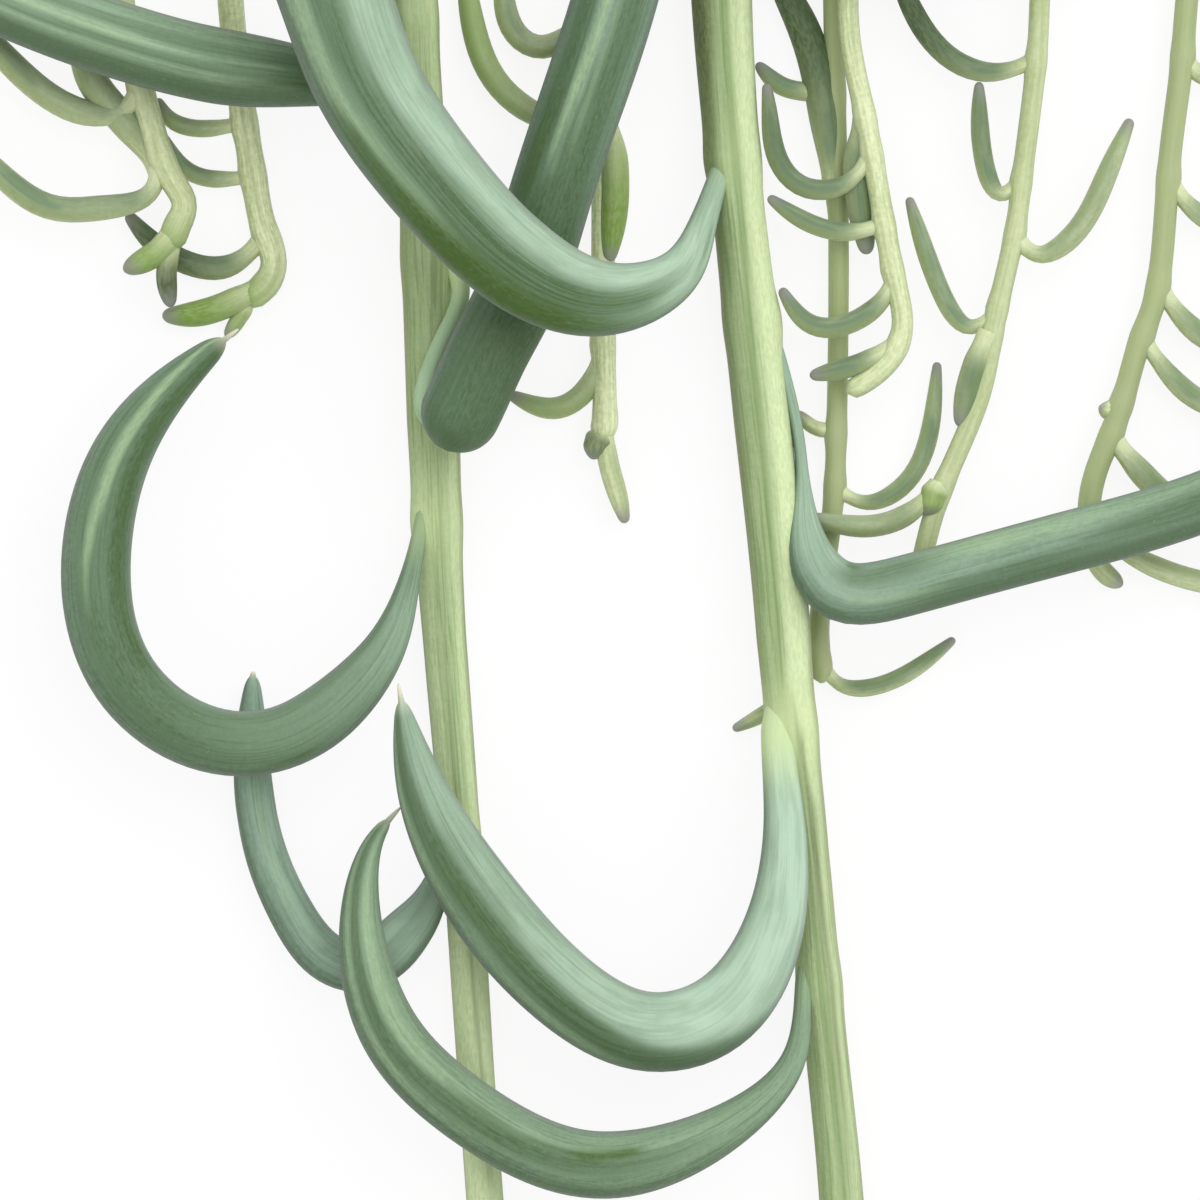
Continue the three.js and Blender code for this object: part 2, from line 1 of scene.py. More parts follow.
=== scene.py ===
"""String of bananas: the looks of a cut length of the trailing succulent, lying on a pale floor.

Tables are in millimetres and the scene is in metres. The plant lies in X and Y, with +Z up, and
its growing tips point along -Y. Every leaf and stem is a tube swept along a smooth route, and
what grows from another piece starts inside it. An angle round a tube is 0 on top, 90 on the
right of its direction of growth, -90 on the left and 180 below.
"""
import math
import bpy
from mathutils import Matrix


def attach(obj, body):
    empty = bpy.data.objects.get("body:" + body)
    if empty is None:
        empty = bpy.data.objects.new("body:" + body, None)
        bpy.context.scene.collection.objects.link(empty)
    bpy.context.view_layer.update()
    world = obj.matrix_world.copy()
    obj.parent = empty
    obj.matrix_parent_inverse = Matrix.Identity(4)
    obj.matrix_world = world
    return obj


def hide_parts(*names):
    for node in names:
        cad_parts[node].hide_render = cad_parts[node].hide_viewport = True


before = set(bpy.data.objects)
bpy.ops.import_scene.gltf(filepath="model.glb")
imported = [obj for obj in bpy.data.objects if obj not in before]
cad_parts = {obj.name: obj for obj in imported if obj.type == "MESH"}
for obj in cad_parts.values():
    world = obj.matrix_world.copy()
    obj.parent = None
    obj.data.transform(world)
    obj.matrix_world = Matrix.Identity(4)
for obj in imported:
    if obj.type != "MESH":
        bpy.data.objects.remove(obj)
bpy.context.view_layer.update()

import zlib
from collections import namedtuple

import bpy
import numpy as np
from mathutils import Vector

SCENE = bpy.context.scene
MM = 0.001

# ---- where everything grows, the same routes as the frame's solids ----
def tube(diameters, *route):
    """A stem or a stalk. Its diameters are spaced evenly along its route."""
    return {"diameters": diameters, "route": route}


def big(thick, neck, full, hold, *route, **more):
    """A big leaf: its greatest diameter, the share of that at its base, and its route.

    It swells until full and tapers from hold to the tip, as shares of its length. more says
    where it starts to swell, how slim it is there, how blunt it ends and how long its thread is.
    """
    return {"thick": thick, "neck": neck, "full": full, "hold": hold, "route": route, **more}


def small(thick, z, *points, **tint):
    """A small leaf at one height. A tint is how pale it is or how strongly a mark covers it."""
    return {"thick": thick, "route": [[x, y, z] for x, y in points], "tint": tint}


def hook(route, y, side):
    """A plain hook-shaped small leaf at a given Y of a route that runs down -Y."""
    i = next(i for i, point in enumerate(route) if point[1] <= y)
    above, below = np.array(route[i - 1], float), np.array(route[i], float)
    x, _, z = above + (below - above) * (y - above[1]) / (below[1] - above[1])
    return small(HOOK_THICK, z, *([x + side * dx, y + dy] for dx, dy in HOOK_OFFSETS))


def shoot(diameter, dullness, hooks, route, *leaves):
    """A thin stem, how grey-green it is, the Y and side of its hooks, and its small leaves."""
    leaves = [*leaves, *(hook(route, *place) for place in hooks)]
    return {**tube([diameter, diameter], *route), "dullness": dullness, "leaves": leaves}


HOOK_THICK = 1.3
HOOK_OFFSETS = [[0, 0], [0.8, -1.5], [2.6, -1.9], [4.4, -0.4], [5.2, 2]]   # for the +X side

CROWN = tube(
    [4.8, 4.7, 4.6, 4.4, 4.2, 3.4, 2.2],
    [-50, -6.5, 2.3], [-42, -2.6, 2.2], [-31, -0.6, 2.2], [-20, 0.6, 2.1], [-10, 0.8, 2], [0, 0, 2],
    [10, -0.9, 1.9], [20, 0.2, 1.7], [27, -0.4, 1.4], [31, -4, 1.2], [31.6, -9, 1.1],
)

LEFT_STEM = tube(
    [3.1, 3.1, 3, 3.1, 3.3, 2.7, 2.5, 2.3, 2.3, 2, 1.5],
    [-20.1, 0, 2], [-19.8, -12, 1.8], [-19.2, -27.5, 1.7], [-18.5, -40, 1.7], [-17.9, -54.4, 1.7],
    [-17.4, -65, 1.6], [-16.4, -77.5, 1.5], [-15.4, -92.5, 1.4], [-14.7, -102.5, 1.3], [-14, -115, 1.2],
    [-14.4, -125, 1.1], [-15.9, -134, 1],
)

RIGHT_STEM = tube(
    [3.8, 3.8, 3.8, 3.3, 3.5, 3.4, 2.6, 2.7, 2.9, 2.4, 1.6],
    [-0.2, 0, 2], [-0.2, -12, 2.2], [0.1, -27.5, 2.3], [1.1, -40, 2.4], [2.5, -52.5, 2.6],
    [3.8, -65, 3.2], [4.4, -72, 3.4], [5.4, -80, 3], [6.1, -87.5, 2.4], [7, -96.2, 1.8],
    [7.6, -102.5, 1.6], [8.6, -115, 1.3], [10.3, -126.2, 1.1], [11.6, -134.4, 1],
)

LEFT_LEAVES = [
    big(4.4, 0.3, 0.3, 0.7, [-20, -8.8, 1.9], [-20.5, -11.2, 3], [-23, -13, 4.1], [-28.4, -12.8, 5],
        [-35, -9.4, 6], [-41.2, -2.5, 7.3], [-45, 5, 6.9], [-47, 11, 5.9]),
    big(4.8, 0.3, 0.38, 0.77, [-19.3, -28.4, 2], [-19.8, -30.6, 2.6], [-21.4, -32.4, 3.6],
        [-26.2, -32.3, 4.8], [-32.5, -31.4, 5.4], [-45, -27.3, 5], [-55.3, -21.9, 3.6]),
    # This one is bent so sharply that its round end lies over its own stalk.
    big(5.35, 1, 0.06, 0.74, [-17.4, -55.5, 6.4], [-15.9, -52.7, 6.4], [-14.4, -49.4, 6],
        [-12.4, -45.4, 5.3], [-10.25, -38.7, 5.1], [-6.6, -27.5, 5.2], [-3.8, -14.1, 5.5], slim=0.95,
        stalk=tube([1.2, 1.1, 1.2, 1.7], [-16.9, -43.6, 2.2], [-16.2, -45.8, 3.2], [-17.3, -48.7, 4],
                   [-18.4, -51.9, 5], [-18.2, -53.3, 5.7], [-17.2, -54, 6.3])),
    big(4.4, 0.25, 0.28, 0.63, [-19.1, -60.3, 2.2], [-19.8, -65.2, 4], [-22, -69.5, 5],
        [-26.9, -73.4, 5.3], [-32.5, -73.5, 5.2], [-37.2, -69.9, 5], [-39, -63.8, 5], [-37.7, -56.6, 5],
        [-34.3, -51.7, 4.8], [-30, -48, 4.4], slim=0.83, blunt=0.26),
    big(2.5, 0.3, 0.24, 0.7, [-16.9, -80.6, 1.6], [-18, -83.4, 1.7], [-19.7, -85.9, 1.7],
        [-22, -87.8, 1.7], [-24.6, -87.3, 1.7], [-26.8, -84.5, 1.6], [-28.4, -80.8, 1.4],
        [-29.2, -76.5, 1.3], [-29.3, -72.5, 1.2], [-29.2, -69.4, 1.2], slim=1.5, blunt=0.3, thread=0.3),
    big(4, 0.25, 0.3, 0.6, [-14.6, -108, 1.5], [-15.1, -111.5, 2.4], [-18.1, -115, 2.6],
        [-24, -116, 2.4], [-31.2, -114.4, 2.2], [-38.8, -110, 2], [-45, -104.4, 1.8]),
    big(3.6, 0.25, 0.3, 0.55, [-13.8, -119.4, 1.4], [-13.2, -123, 2.2], [-10.5, -126.2, 2.2],
        [-6.1, -126.6, 2], [-2, -123, 1.9], [0, -117.5, 1.8], [0.5, -111, 1.6]),
    big(2.8, 0.25, 0.3, 0.55, [-15.1, -127, 1.2], [-16, -130.4, 1.9], [-18.6, -132.6, 1.8],
        [-22.5, -132.6, 1.6], [-26, -130, 1.5], [-27.8, -126, 1.3]),
]

RIGHT_LEAVES = [
    big(4.4, 0.3, 0.3, 0.7, [0.5, -16.6, 2.6], [1.2, -20, 4.4], [4.1, -22.6, 5.8], [8.8, -23.6, 6.4],
        [16.2, -22.2, 6.4], [24.4, -17, 6.3], [30.6, -9.4, 6.3], [34, -1.2, 6.2]),
    big(7.3, 0.28, 0.4, 0.84, [-0.8, -37.8, 3.2], [-1.1, -41.6, 5.4], [-3, -44.9, 8.8],
        [-7.5, -46.2, 11.1], [-12.5, -44.1, 11.5], [-17.5, -39.2, 11.3], [-21.8, -33.2, 11],
        [-24, -27.5, 11], [-27.8, -15.6, 11], slim=0.66),
    big(3.85, 0.2, 0.34, 0.78, [4.2, -47.5, 2.6], [5, -55.6, 3], [5.5, -61.6, 4], [7.5, -64.4, 4.9],
        [11.9, -64, 5], [21.2, -61.5, 5], [32.5, -57.9, 4.8], [41.2, -52.2, 4.2], start=0.16),
    big(5, 0.42, 0.42, 0.63, [3.6, -73.4, 4.2], [4, -79.4, 6], [3.1, -86.1, 6.1], [-0.1, -90.8, 5.9],
        [-5, -91.9, 5.7], [-10.2, -89, 5.5], [-14.8, -83.8, 5.5], [-18.5, -77, 6], [-20.1, -70.1, 6.8],
        blunt=0.14),
    big(4.2, 0.25, 0.38, 0.54, [5.2, -89.1, 3.2], [4.6, -93.6, 4.9], [1.4, -97.2, 5.4],
        [-4.4, -99.9, 5.3], [-10, -99.9, 5.1], [-16.2, -96.6, 5.1], [-20.6, -92, 5.7],
        [-22.4, -85.6, 6], [-21.7, -80.3, 5.2], [-19.9, -77.9, 4.4], blunt=0.14),
    big(4, 0.25, 0.3, 0.6, [8.5, -107, 1.8], [9.1, -110.6, 2.6], [12.2, -114.1, 2.7], [17.5, -115, 2.5],
        [23.8, -112.5, 2.3], [29.4, -107.8, 2.1], [33.4, -101.2, 1.8]),
    big(3.6, 0.25, 0.3, 0.55, [10.2, -121.2, 1.5], [10.8, -124.8, 2.2], [13.4, -127.8, 2.2],
        [18.1, -128.2, 2], [22.8, -125.6, 1.9], [26.2, -120.6, 1.7], [27.5, -115, 1.5]),
    big(2.8, 0.25, 0.3, 0.55, [10.8, -130, 1.2], [10.2, -133.2, 1.7], [7.7, -135.8, 1.7],
        [3.6, -135.6, 1.6], [0.3, -132.8, 1.5], [-1.2, -128.8, 1.3]),
]

CROWN_LEAVES = [
    big(4.6, 0.25, 0.3, 0.65, [-11, 1, 3.2], [-13.5, 3, 3.8], [-18, 4.6, 3.5], [-24, 6.6, 3],
        [-29, 10.4, 2.6], [-32, 16, 2.3], [-32.5, 23, 1.9]),
    big(4.2, 0.25, 0.3, 0.65, [2, 0.4, 3], [4.5, 2.4, 3.5], [8, 5.8, 3.1], [10.6, 10.8, 2.6],
        [11, 17, 2.3], [9, 23.6, 1.9]),
    big(4.2, 0.25, 0.3, 0.65, [16, 0.2, 2.8], [19.5, 2.6, 3.3], [25, 4.6, 2.9], [30, 8, 2.5],
        [33, 13, 2.3], [33.5, 19.6, 1.9]),
]

# The growing tips: a few short leaves round the end of a stem.
TIPS = {
    "left_tip": [
        small(1.7, 1.1, [-15.9, -133.4], [-17.2, -137.4], [-20, -140], [-23.5, -140]),
        small(1.6, 1, [-15.9, -133.4], [-15.6, -137], [-13.8, -140.5], [-11, -142]),
        small(1.3, 0.9, [-15.9, -133.4], [-16.8, -138.5], [-17.2, -143]),
    ],
    "right_tip": [
        small(1.7, 1.1, [11.4, -133.6], [13, -137], [16, -139.3], [19.5, -138.6]),
        small(1.6, 1, [11.5, -133.8], [11.6, -138], [9.8, -141.3], [6.8, -142]),
        small(1.3, 0.9, [11.5, -133.8], [12.4, -138.5], [14, -142.6]),
    ],
}

SHOOTS = {
    "shoot_1": shoot(
        1.6, 0.3, [[-7, -1], [-14, -1], [-21, -1]],
        [[-38.8, -1.8, 2.1], [-38.4, -12, 1.6], [-37.4, -27.5, 1.5], [-36.2, -33, 1.9],
         [-35.4, -35.8, 2.3], [-34.4, -38.5, 2.6], [-33.5, -40.2, 2.7], [-33.9, -41.6, 2.7],
         [-34.6, -43, 2.6]],
        small(1.7, 2, [-36.2, -33], [-37.4, -34.4], [-39.8, -34.5], [-43.1, -32.6], [-47.8, -27.5],
              pale=0.15),
        small(1.6, 2.5, [-35, -37.8], [-35.8, -39.7], [-38.8, -40.5], [-42.5, -40.2], [-47.8, -35.3]),
        small(2, 1.6, [-34.9, -38.2], [-36.2, -36.3], [-38, -34.2], [-39.5, -32], [-40.1, -28.8], pale=0.2),
        small(1.6, 2.7, [-34, -41.6], [-35, -43.1], [-37.3, -44.4], line=0.8),
        small(1.3, 2.5, [-34.2, -42.5], [-34.6, -44.6], [-34.3, -46.7], streak=0.9),
    ),
    # shoot_2 and shoot_3 have dullness 0, partly their own pale green and partly painted light where the
    # big leaves beside them shade them.
    "shoot_2": shoot(
        1.65, 0, [[-6, -1], [-10, 1], [-16, -1], [-20, 1]],
        [[-32.2, -0.8, 2.1], [-31.6, -12, 1.1], [-30.6, -27.5, 0.9], [-29.9, -34, 0.9], [-29.1, -39, 0.9],
         [-28.5, -41.8, 0.9], [-27.9, -43.9, 0.9], [-28.6, -45.5, 0.9], [-29.8, -46.1, 0.9]],
        small(1.1, 0.7, [-30, -35.2], [-32.6, -35.5], [-34.4, -34.9], [-35.2, -33.6], pale=0.25),
        small(1.1, 0.7, [-29.2, -38.5], [-32.1, -38.6], [-33.8, -37.7], [-34.9, -35.8]),
        small(1.5, 0.8, [-28.6, -42.4], [-30.3, -43.9], [-32.2, -44.2], [-35, -43], [-37.1, -40.8],
              streak=0.9),
        small(1.7, 0.9, [-28.4, -45.2], [-30.6, -46.4], [-32.8, -47.1], [-34.9, -47.2], line=0.95),
        small(1, 0.7, [-29.4, -46.2], [-30.1, -47.4], [-30.9, -48.6], line=0.5),
    ),
    "shoot_3": shoot(
        1.5, 0, [[-8, -1], [-15, -1], [-21, -1]],
        [[-8.2, 0, 2], [-7.8, -15, 1.2], [-7.5, -27.5, 1.2], [-7.3, -40, 1.2], [-7.3, -48.4, 1.2],
         [-7.2, -53, 1.2], [-7.3, -55, 1.2]],
        small(1.6, 1.1, [-7.5, -35.5], [-10, -35.2], [-12.8, -33.8], [-14.9, -30.9], [-16.1, -24.4],
              line=0.5),
        small(1.5, 1.1, [-7.5, -27.8], [-9.2, -29.5], [-11.2, -30.4], [-13, -29.2], [-13.6, -24.7],
              pale=0.2),
        small(1.4, 1.1, [-7.3, -49.1], [-8.2, -51.6], [-10.3, -53], [-13.2, -52.1], line=0.35),
        small(1.8, 1.6, [-7.3, -34.4], [-6.7, -36.9], [-6.6, -40.3], [-7, -43.9], line=0.9),
        small(1.3, 1.1, [-7.2, -53.9], [-7, -56.2], [-6.4, -58.4], [-5.9, -60.2], pale=1),
        small(1.6, 1.1, [-7.3, -54.4], [-7.7, -55.3], [-8, -56.2], streak=0.7),
    ),
    "shoot_4": shoot(
        1.35, 0.15, [[-8, 1], [-21, 1]],
        [[11.6, 0, 2], [10.2, -12, 2.7], [8, -27.5, 3.1], [8.9, -33.9, 3.1], [10.05, -40.2, 3.1],
         [10.95, -45, 3.1], [11.4, -47.8, 3], [10.7, -49.9, 3], [9.2, -51.3, 2.9], [7.9, -52, 2.8]],
        small(1.3, 3.1, [9.4, -37.2], [7.8, -39], [5.3, -39.2], [3.6, -37.4], [3.1, -34.6], [2.9, -32.7],
              streak=0.5),
        small(1.2, 3.1, [10.2, -41.5], [8.1, -42], [5.5, -41.4], [3, -39.8], streak=0.2),
        small(1.3, 3.1, [11, -44.5], [10, -46.4], [7.5, -47.9], [5.4, -47.6], [3.8, -45.5], streak=0.1),
        small(1.8, 2.2, [9.1, -34.7], [8.6, -37.5], [8.8, -40.3], [9.2, -43.4], streak=0.4),
        small(1.3, 2.9, [11, -49], [8.8, -50.2], [5.6, -51], streak=0.2),
    ),
    "shoot_5": shoot(
        1.3, 0.9, [[-21, 1]],
        [[6.6, 0, 2], [6.9, -12, 1.1], [7.1, -27.5, 0.9], [7.4, -40.2, 0.9], [7.4, -48.2, 0.9],
         [7.2, -57.2, 0.9], [6.8, -61.4, 0.9], [6.2, -66.9, 0.9], [6.4, -70.2, 0.9]],
        small(1.1, 0.8, [6.4, -69.1], [7.8, -70.4], [10.9, -70], [14.7, -67.4]),
        small(1.1, 0.7, [6.2, -68.1], [4.7, -70.6], [2.8, -72.1], [0.8, -73.1], pale=0.6),
        small(1.2, 0.8, [7.1, -33.5], [5.3, -33.2], [3.8, -32.8], [2.3, -31.4]),
        small(2.1, 0.8, [7.2, -39.7], [6.8, -36.2], [5.9, -31.2], [4.7, -28.1], [2.8, -24.7], streak=0.95),
        small(0.9, 0.8, [7.2, -54.4], [5.9, -54.2], [4.8, -53.2], pale=0.5),
        small(1.2, 0.9, [7.2, -58], [9.2, -58.9], [11.5, -57.8], [13, -55], [13.6, -50.1]),
    ),
    "shoot_6": shoot(
        1.3, 0.5, [[-9, 1], [-16, -1], [-23, 1]],
        [[20.6, 0, 2], [20.4, -12, 2], [20, -27.5, 2.1], [19.7, -32.2, 2.1], [18.9, -38.6, 2.1],
         [18.4, -42.2, 2.1], [17.2, -47.6, 2.2], [16.2, -52.4, 2.3], [14, -57.8, 2.3], [12.9, -61.4, 1.9],
         [12.5, -63.2, 1.4]],
        small(1.4, 2, [19.8, -31.2], [17.1, -32], [14.4, -31.1], [12.2, -28.4], [10.5, -24.1], streak=0.95),
        small(1.2, 2, [18.8, -38.8], [17.5, -39.6], [16.5, -37.5], [16.2, -32.6], streak=0.35),
        small(1.4, 2.1, [18.4, -42.2], [20, -43.4], [22.4, -41.8], [24.1, -38.6], [25.7, -34.9], pale=0.35),
        small(1.2, 2.1, [17.4, -47], [15.5, -47.9], [13.6, -45.2], [11.8, -39.8]),
        small(1.6, 2.4, [16.8, -48.2], [15.8, -50.8], [15, -54.2], streak=0.3),
        small(1.4, 2.5, [13.6, -58], [11.6, -59.7], [9, -60.4], [5.4, -59.8], pale=0.3),
        small(1.6, 2.5, [13.7, -57.6], [13.3, -58.7], [13, -59.8], line=0.7),
    ),
    "shoot_7": shoot(
        1.45, 0.9, [[-14, 1], [-19, -1], [-23, 1]],
        [[31.6, -8.5, 1.2], [30.4, -17, 1.3], [29.2, -27.5, 1.3], [28.8, -32.2, 1.3], [28.1, -37.9, 1.3],
         [27.3, -45.8, 1.3], [26.2, -49, 1.3], [25, -53.2, 1.3], [23.8, -56.2, 1.3], [23.1, -59.1, 1.3],
         [23.4, -62.5, 1.2]],
        small(1.4, 1.2, [28.9, -30.9], [30.3, -32.2], [32.5, -31.4], [34.1, -27.5]),
        small(1.4, 1.2, [28.1, -38.8], [30.2, -41], [33.1, -41.4], [35.5, -36.9]),
        small(1.5, 1.2, [27.4, -45.3], [30.1, -48.4], [33.2, -48.8], [35.9, -44.4]),
        small(1.4, 1.2, [26.4, -48.6], [29.5, -52.2], [32.5, -52.8], [35.6, -49.4]),
        small(1.6, 1.2, [24.5, -54.8], [26.9, -57.6], [29.4, -59.4], [31.9, -59.7]),
        small(1.4, 1.2, [23.4, -60.6], [25.6, -62.1], [29.1, -63.6], [33.1, -63.8], [35.6, -61.6],
              pale=0.6),
        small(1.3, 1, [23.4, -61.8], [23.9, -63.1], [25.2, -64.1], pale=0.6),
        small(1.2, 1.2, [25, -52.8], [24.4, -53.1], [23.7, -52.9], pale=0.4),
    ),
}

# ---- what the skins show ----
# A mark runs along a tube as (share of the length, angle, half width in degrees, strength).
# window: a dark band where the skin lets light in; line: a pale line beside it;
# streak: a brown-olive scuff. On the stems some lines and streaks carry painted shade, a painted shadow,
# painted highlights and painted light, as noted where they stand. Each leaf also has a window low on either
# flank, out of the light.
HIDDEN_WINDOWS = [
    ("window", (0.05, side * 140, 16, 0), (0.2, side * 138, 18, 0.8), (0.9, side * 135, 20, 0.9))
    for side in (1, -1)
]
USUAL_MARKS = [
    ("window", (0.1, -30, 14, 0), (0.3, -32, 16, 0.7), (0.7, -30, 17, 0.9), (0.96, -35, 22, 0.8)),
    ("line", (0.3, -4, 8, 0.1), (0.6, -2, 9, 0.7), (0.95, 0, 10, 0.4)),
]
MARKS = {
    "left_leaf_2": [
        ("window", (0.12, 0, 40, 0.8), (0.22, -8, 34, 0.7), (0.3, -8, 10, 0.6), (0.5, -7, 8, 0.7),
         (0.7, -7, 8, 0.5), (1, -8, 8, 0.5)),
        ("window", (0.2, -40, 20, 0.6), (0.4, -44, 24, 0.75), (0.7, -44, 24, 0.75), (1, -44, 20, 0.6)),
        ("window", (0.15, 30, 20, 0.5), (0.3, 24, 11, 0.6), (0.45, 26, 10, 0.6), (1, 28, 9, 0.4)),
        ("line", (0.34, 6, 6, 0), (0.42, 8, 6, 0.25), (0.5, 9, 7, 0.5), (0.6, 9, 8, 0.5), (1, 9, 9, 0.6)),
        ("line", (0.3, -22, 5, 0), (0.37, -21, 5, 0.3), (0.5, -20, 5, 0.3), (0.65, -20, 5, 0.3),
         (1, -20, 6, 0.3)),
        ("streak", (0.18, -24, 8, 0.7), (0.22, -20, 8, 0.8), (0.27, -15, 6, 0.5), (0.32, -12, 4, 0)),
    ],
    "left_leaf_3": [
        ("window", (0, 40, 75, 1), (0.28, 20, 70, 1), (0.38, 12, 50, 0.95), (0.45, 22, 32, 0.95),
         (0.52, 26, 26, 0.9), (0.62, 27, 22, 0.85), (1, 27, 18, 0.65)),
        ("window", (0.38, -42, 20, 0.7), (0.5, -40, 20, 0.9), (0.7, -38, 16, 0.8), (1, -38, 14, 0.7)),
        ("line", (0.41, -10, 4, 0), (0.46, -13, 4, 0.5), (0.55, -13, 5, 0.8), (0.65, -11, 5, 0.7),
         (1, -8, 6, 0.6)),
        ("line", (0.42, 6, 3, 0), (0.5, 6, 3, 0.25), (0.7, 6, 3, 0.25), (1, 8, 4, 0.2)),
        ("streak", (0.37, -36, 6, 0), (0.4, -38, 12, 0.5), (0.46, -40, 10, 0.4), (0.55, -40, 8, 0)),
    ],
    "left_leaf_4": [
        ("window", (0.14, -10, 60, 0), (0.22, -14, 60, 0.3), (0.36, -5, 60, 0.5), (0.45, 5, 60, 0.85),
         (0.54, 14, 50, 0.9), (0.64, 0, 44, 0.65), (0.75, -10, 44, 0.5), (0.9, -10, 44, 0.5)),
        ("window", (0.46, 50, 16, 0.5), (0.54, 44, 26, 1), (0.65, 40, 30, 1), (0.8, 38, 30, 1),
         (0.92, 34, 34, 1), (0.98, 30, 34, 0.9)),
        ("window", (0.64, 6, 7, 0.3), (0.72, 10, 8, 0.7), (0.85, 6, 8, 0.7), (0.94, -8, 8, 0.5)),
        ("line", (0.6, -18, 5, 0), (0.67, -16, 8, 0.45), (0.75, -6, 10, 0.6), (0.85, -8, 12, 0.6),
         (0.92, -22, 10, 0.6), (0.97, -40, 8, 0.6)),
        ("streak", (0.5, 64, 4, 0), (0.54, 57, 6, 0.5), (0.6, 46, 10, 0.25), (0.66, 42, 12, 0.35),
         (0.8, 38, 12, 0.25), (0.95, 30, 14, 0.25)),
        ("streak", (0.28, -49, 3, 0), (0.3, -48, 4, 0.7), (0.33, -46, 4, 0.6), (0.34, -46, 3, 0)),
    ],
    "left_leaf_5": [
        ("window", (0.06, 5, 12, 0.1), (0.15, 5, 14, 0.2), (0.25, 0, 14, 0.2), (0.35, -5, 12, 0)),
        ("window", (0.3, -60, 14, 0.2), (0.5, -62, 14, 0.3), (0.8, -60, 12, 0.3), (1, -50, 12, 0.3)),
        ("line", (0.4, 10, 10, 0), (0.55, 12, 14, 0.2), (0.75, 10, 12, 0.2)),
    ],
    "right_leaf_2": [
        ("window", (0.15, 4, 10, 0), (0.24, -8, 26, 0.7), (0.32, -9, 30, 0.95), (0.42, -8, 29, 0.95),
         (0.5, -3, 23, 0.9), (0.62, -5, 21, 0.85), (0.75, -11, 20, 0.8), (1, -18, 15, 0.7)),
        ("line", (0.38, -28, 4, 0), (0.46, -30, 5, 0.3), (0.6, -31, 6, 0.5), (0.66, -38, 10, 0.4),
         (0.78, -44, 14, 0.4), (1, -44, 12, 0.3)),
        ("streak", (0.2, -44, 8, 0), (0.27, -46, 16, 0.6), (0.32, -48, 26, 1), (0.45, -50, 25, 1.1),
         (0.53, -49, 20, 0.85), (0.62, -47, 13, 0.6), (0.67, -46, 6, 0)),
        ("streak", (0.07, -40, 4, 0), (0.1, -40, 8, 0.5), (0.14, -34, 7, 0.5), (0.2, -24, 3, 0)),
        ("streak", (0.2, -8, 3, 0), (0.25, -6, 5, 0.5), (0.3, -4, 5, 0.4), (0.36, -4, 3, 0)),
    ],
    "right_leaf_3": [
        ("window", (0.34, 60, 12, 0.3), (0.45, 55, 22, 0.7), (0.65, 52, 25, 0.7), (0.75, 50, 25, 0.7),
         (1, 50, 22, 0.6)),
        ("window", (0.3, -30, 24, 0), (0.34, -34, 26, 0.6), (0.42, -36, 24, 0.5), (0.48, -40, 20, 0)),
        ("window", (0.36, 30, 12, 0), (0.42, 27, 14, 0.5), (0.55, 24, 15, 0.6), (0.7, 22, 14, 0.3)),
        ("line", (0.33, 12, 5, 0), (0.36, 16, 6, 0.35), (0.42, 20, 6, 0.3), (0.46, 20, 6, 0)),
        ("line", (0.42, -40, 20, 0), (0.5, -45, 24, 0.45), (0.6, -40, 24, 0.4), (0.7, -44, 20, 0.2),
         (1, -40, 20, 0.2)),
        ("window", (0.58, 12, 20, 0), (0.66, 4, 24, 0.5), (0.75, -4, 26, 0.75), (1, -4, 26, 0.7)),
        ("streak", (0.32, -60, 3, 0), (0.335, -60, 8, 0.8), (0.35, -60, 8, 0.6), (0.36, -60, 4, 0)),
    ],
    "right_leaf_4": [
        ("window", (0.32, -66, 10, 0), (0.37, -62, 20, 0.6), (0.43, -48, 24, 0.8), (0.5, -30, 26, 1),
         (0.58, -20, 25, 0.95), (0.68, -14, 24, 0.95), (0.8, -22, 24, 0.85), (0.9, -38, 24, 0.8),
         (1, -48, 18, 0.6)),
        ("line", (0.45, -62, 8, 0), (0.52, -56, 9, 0.3), (0.6, -52, 10, 0.3), (0.72, -52, 9, 0.2),
         (0.8, -56, 10, 0.4), (1, -70, 8, 0.3)),
        ("window", (0.6, 14, 6, 0), (0.68, 16, 8, 0.3), (0.8, 14, 8, 0.3), (0.9, 8, 6, 0)),
        ("streak", (0.61, -14, 4, 0), (0.64, -16, 10, 0.3), (0.75, -24, 10, 0.3), (0.82, -30, 4, 0)),
    ],
    "right_leaf_5": [
        ("window", (0.2, -8, 8, 0), (0.3, -2, 20, 0.4), (0.38, 4, 26, 0.75), (0.5, -4, 20, 0.9),
         (0.6, -6, 18, 0.85), (0.7, -13, 16, 0.8), (0.85, -19, 14, 0.8), (0.92, -22, 20, 0.8),
         (1, -22, 24, 0.6)),
        ("window", (0.22, -55, 12, 0), (0.38, -56, 15, 0.3), (0.5, -60, 13, 0.2), (1, -62, 12, 0.2)),
        ("line", (0.55, 26, 10, 0.1), (0.68, 20, 14, 0.3), (0.82, 18, 16, 0.4), (0.91, 18, 12, 0.3),
         (0.97, 18, 8, 0.1)),
        ("line", (0.5, -38, 6, 0), (0.6, -38, 7, 0.3), (0.85, -40, 8, 0.3), (0.93, -46, 8, 0.1)),
        ("streak", (0.31, 20, 3, 0), (0.34, 20, 7, 0.9), (0.4, 15, 8, 1), (0.43, 16, 4, 0.5),
         (0.5, 18, 4, 0.3), (0.56, 17, 5, 0.6), (0.62, 16, 3, 0)),
    ],
}

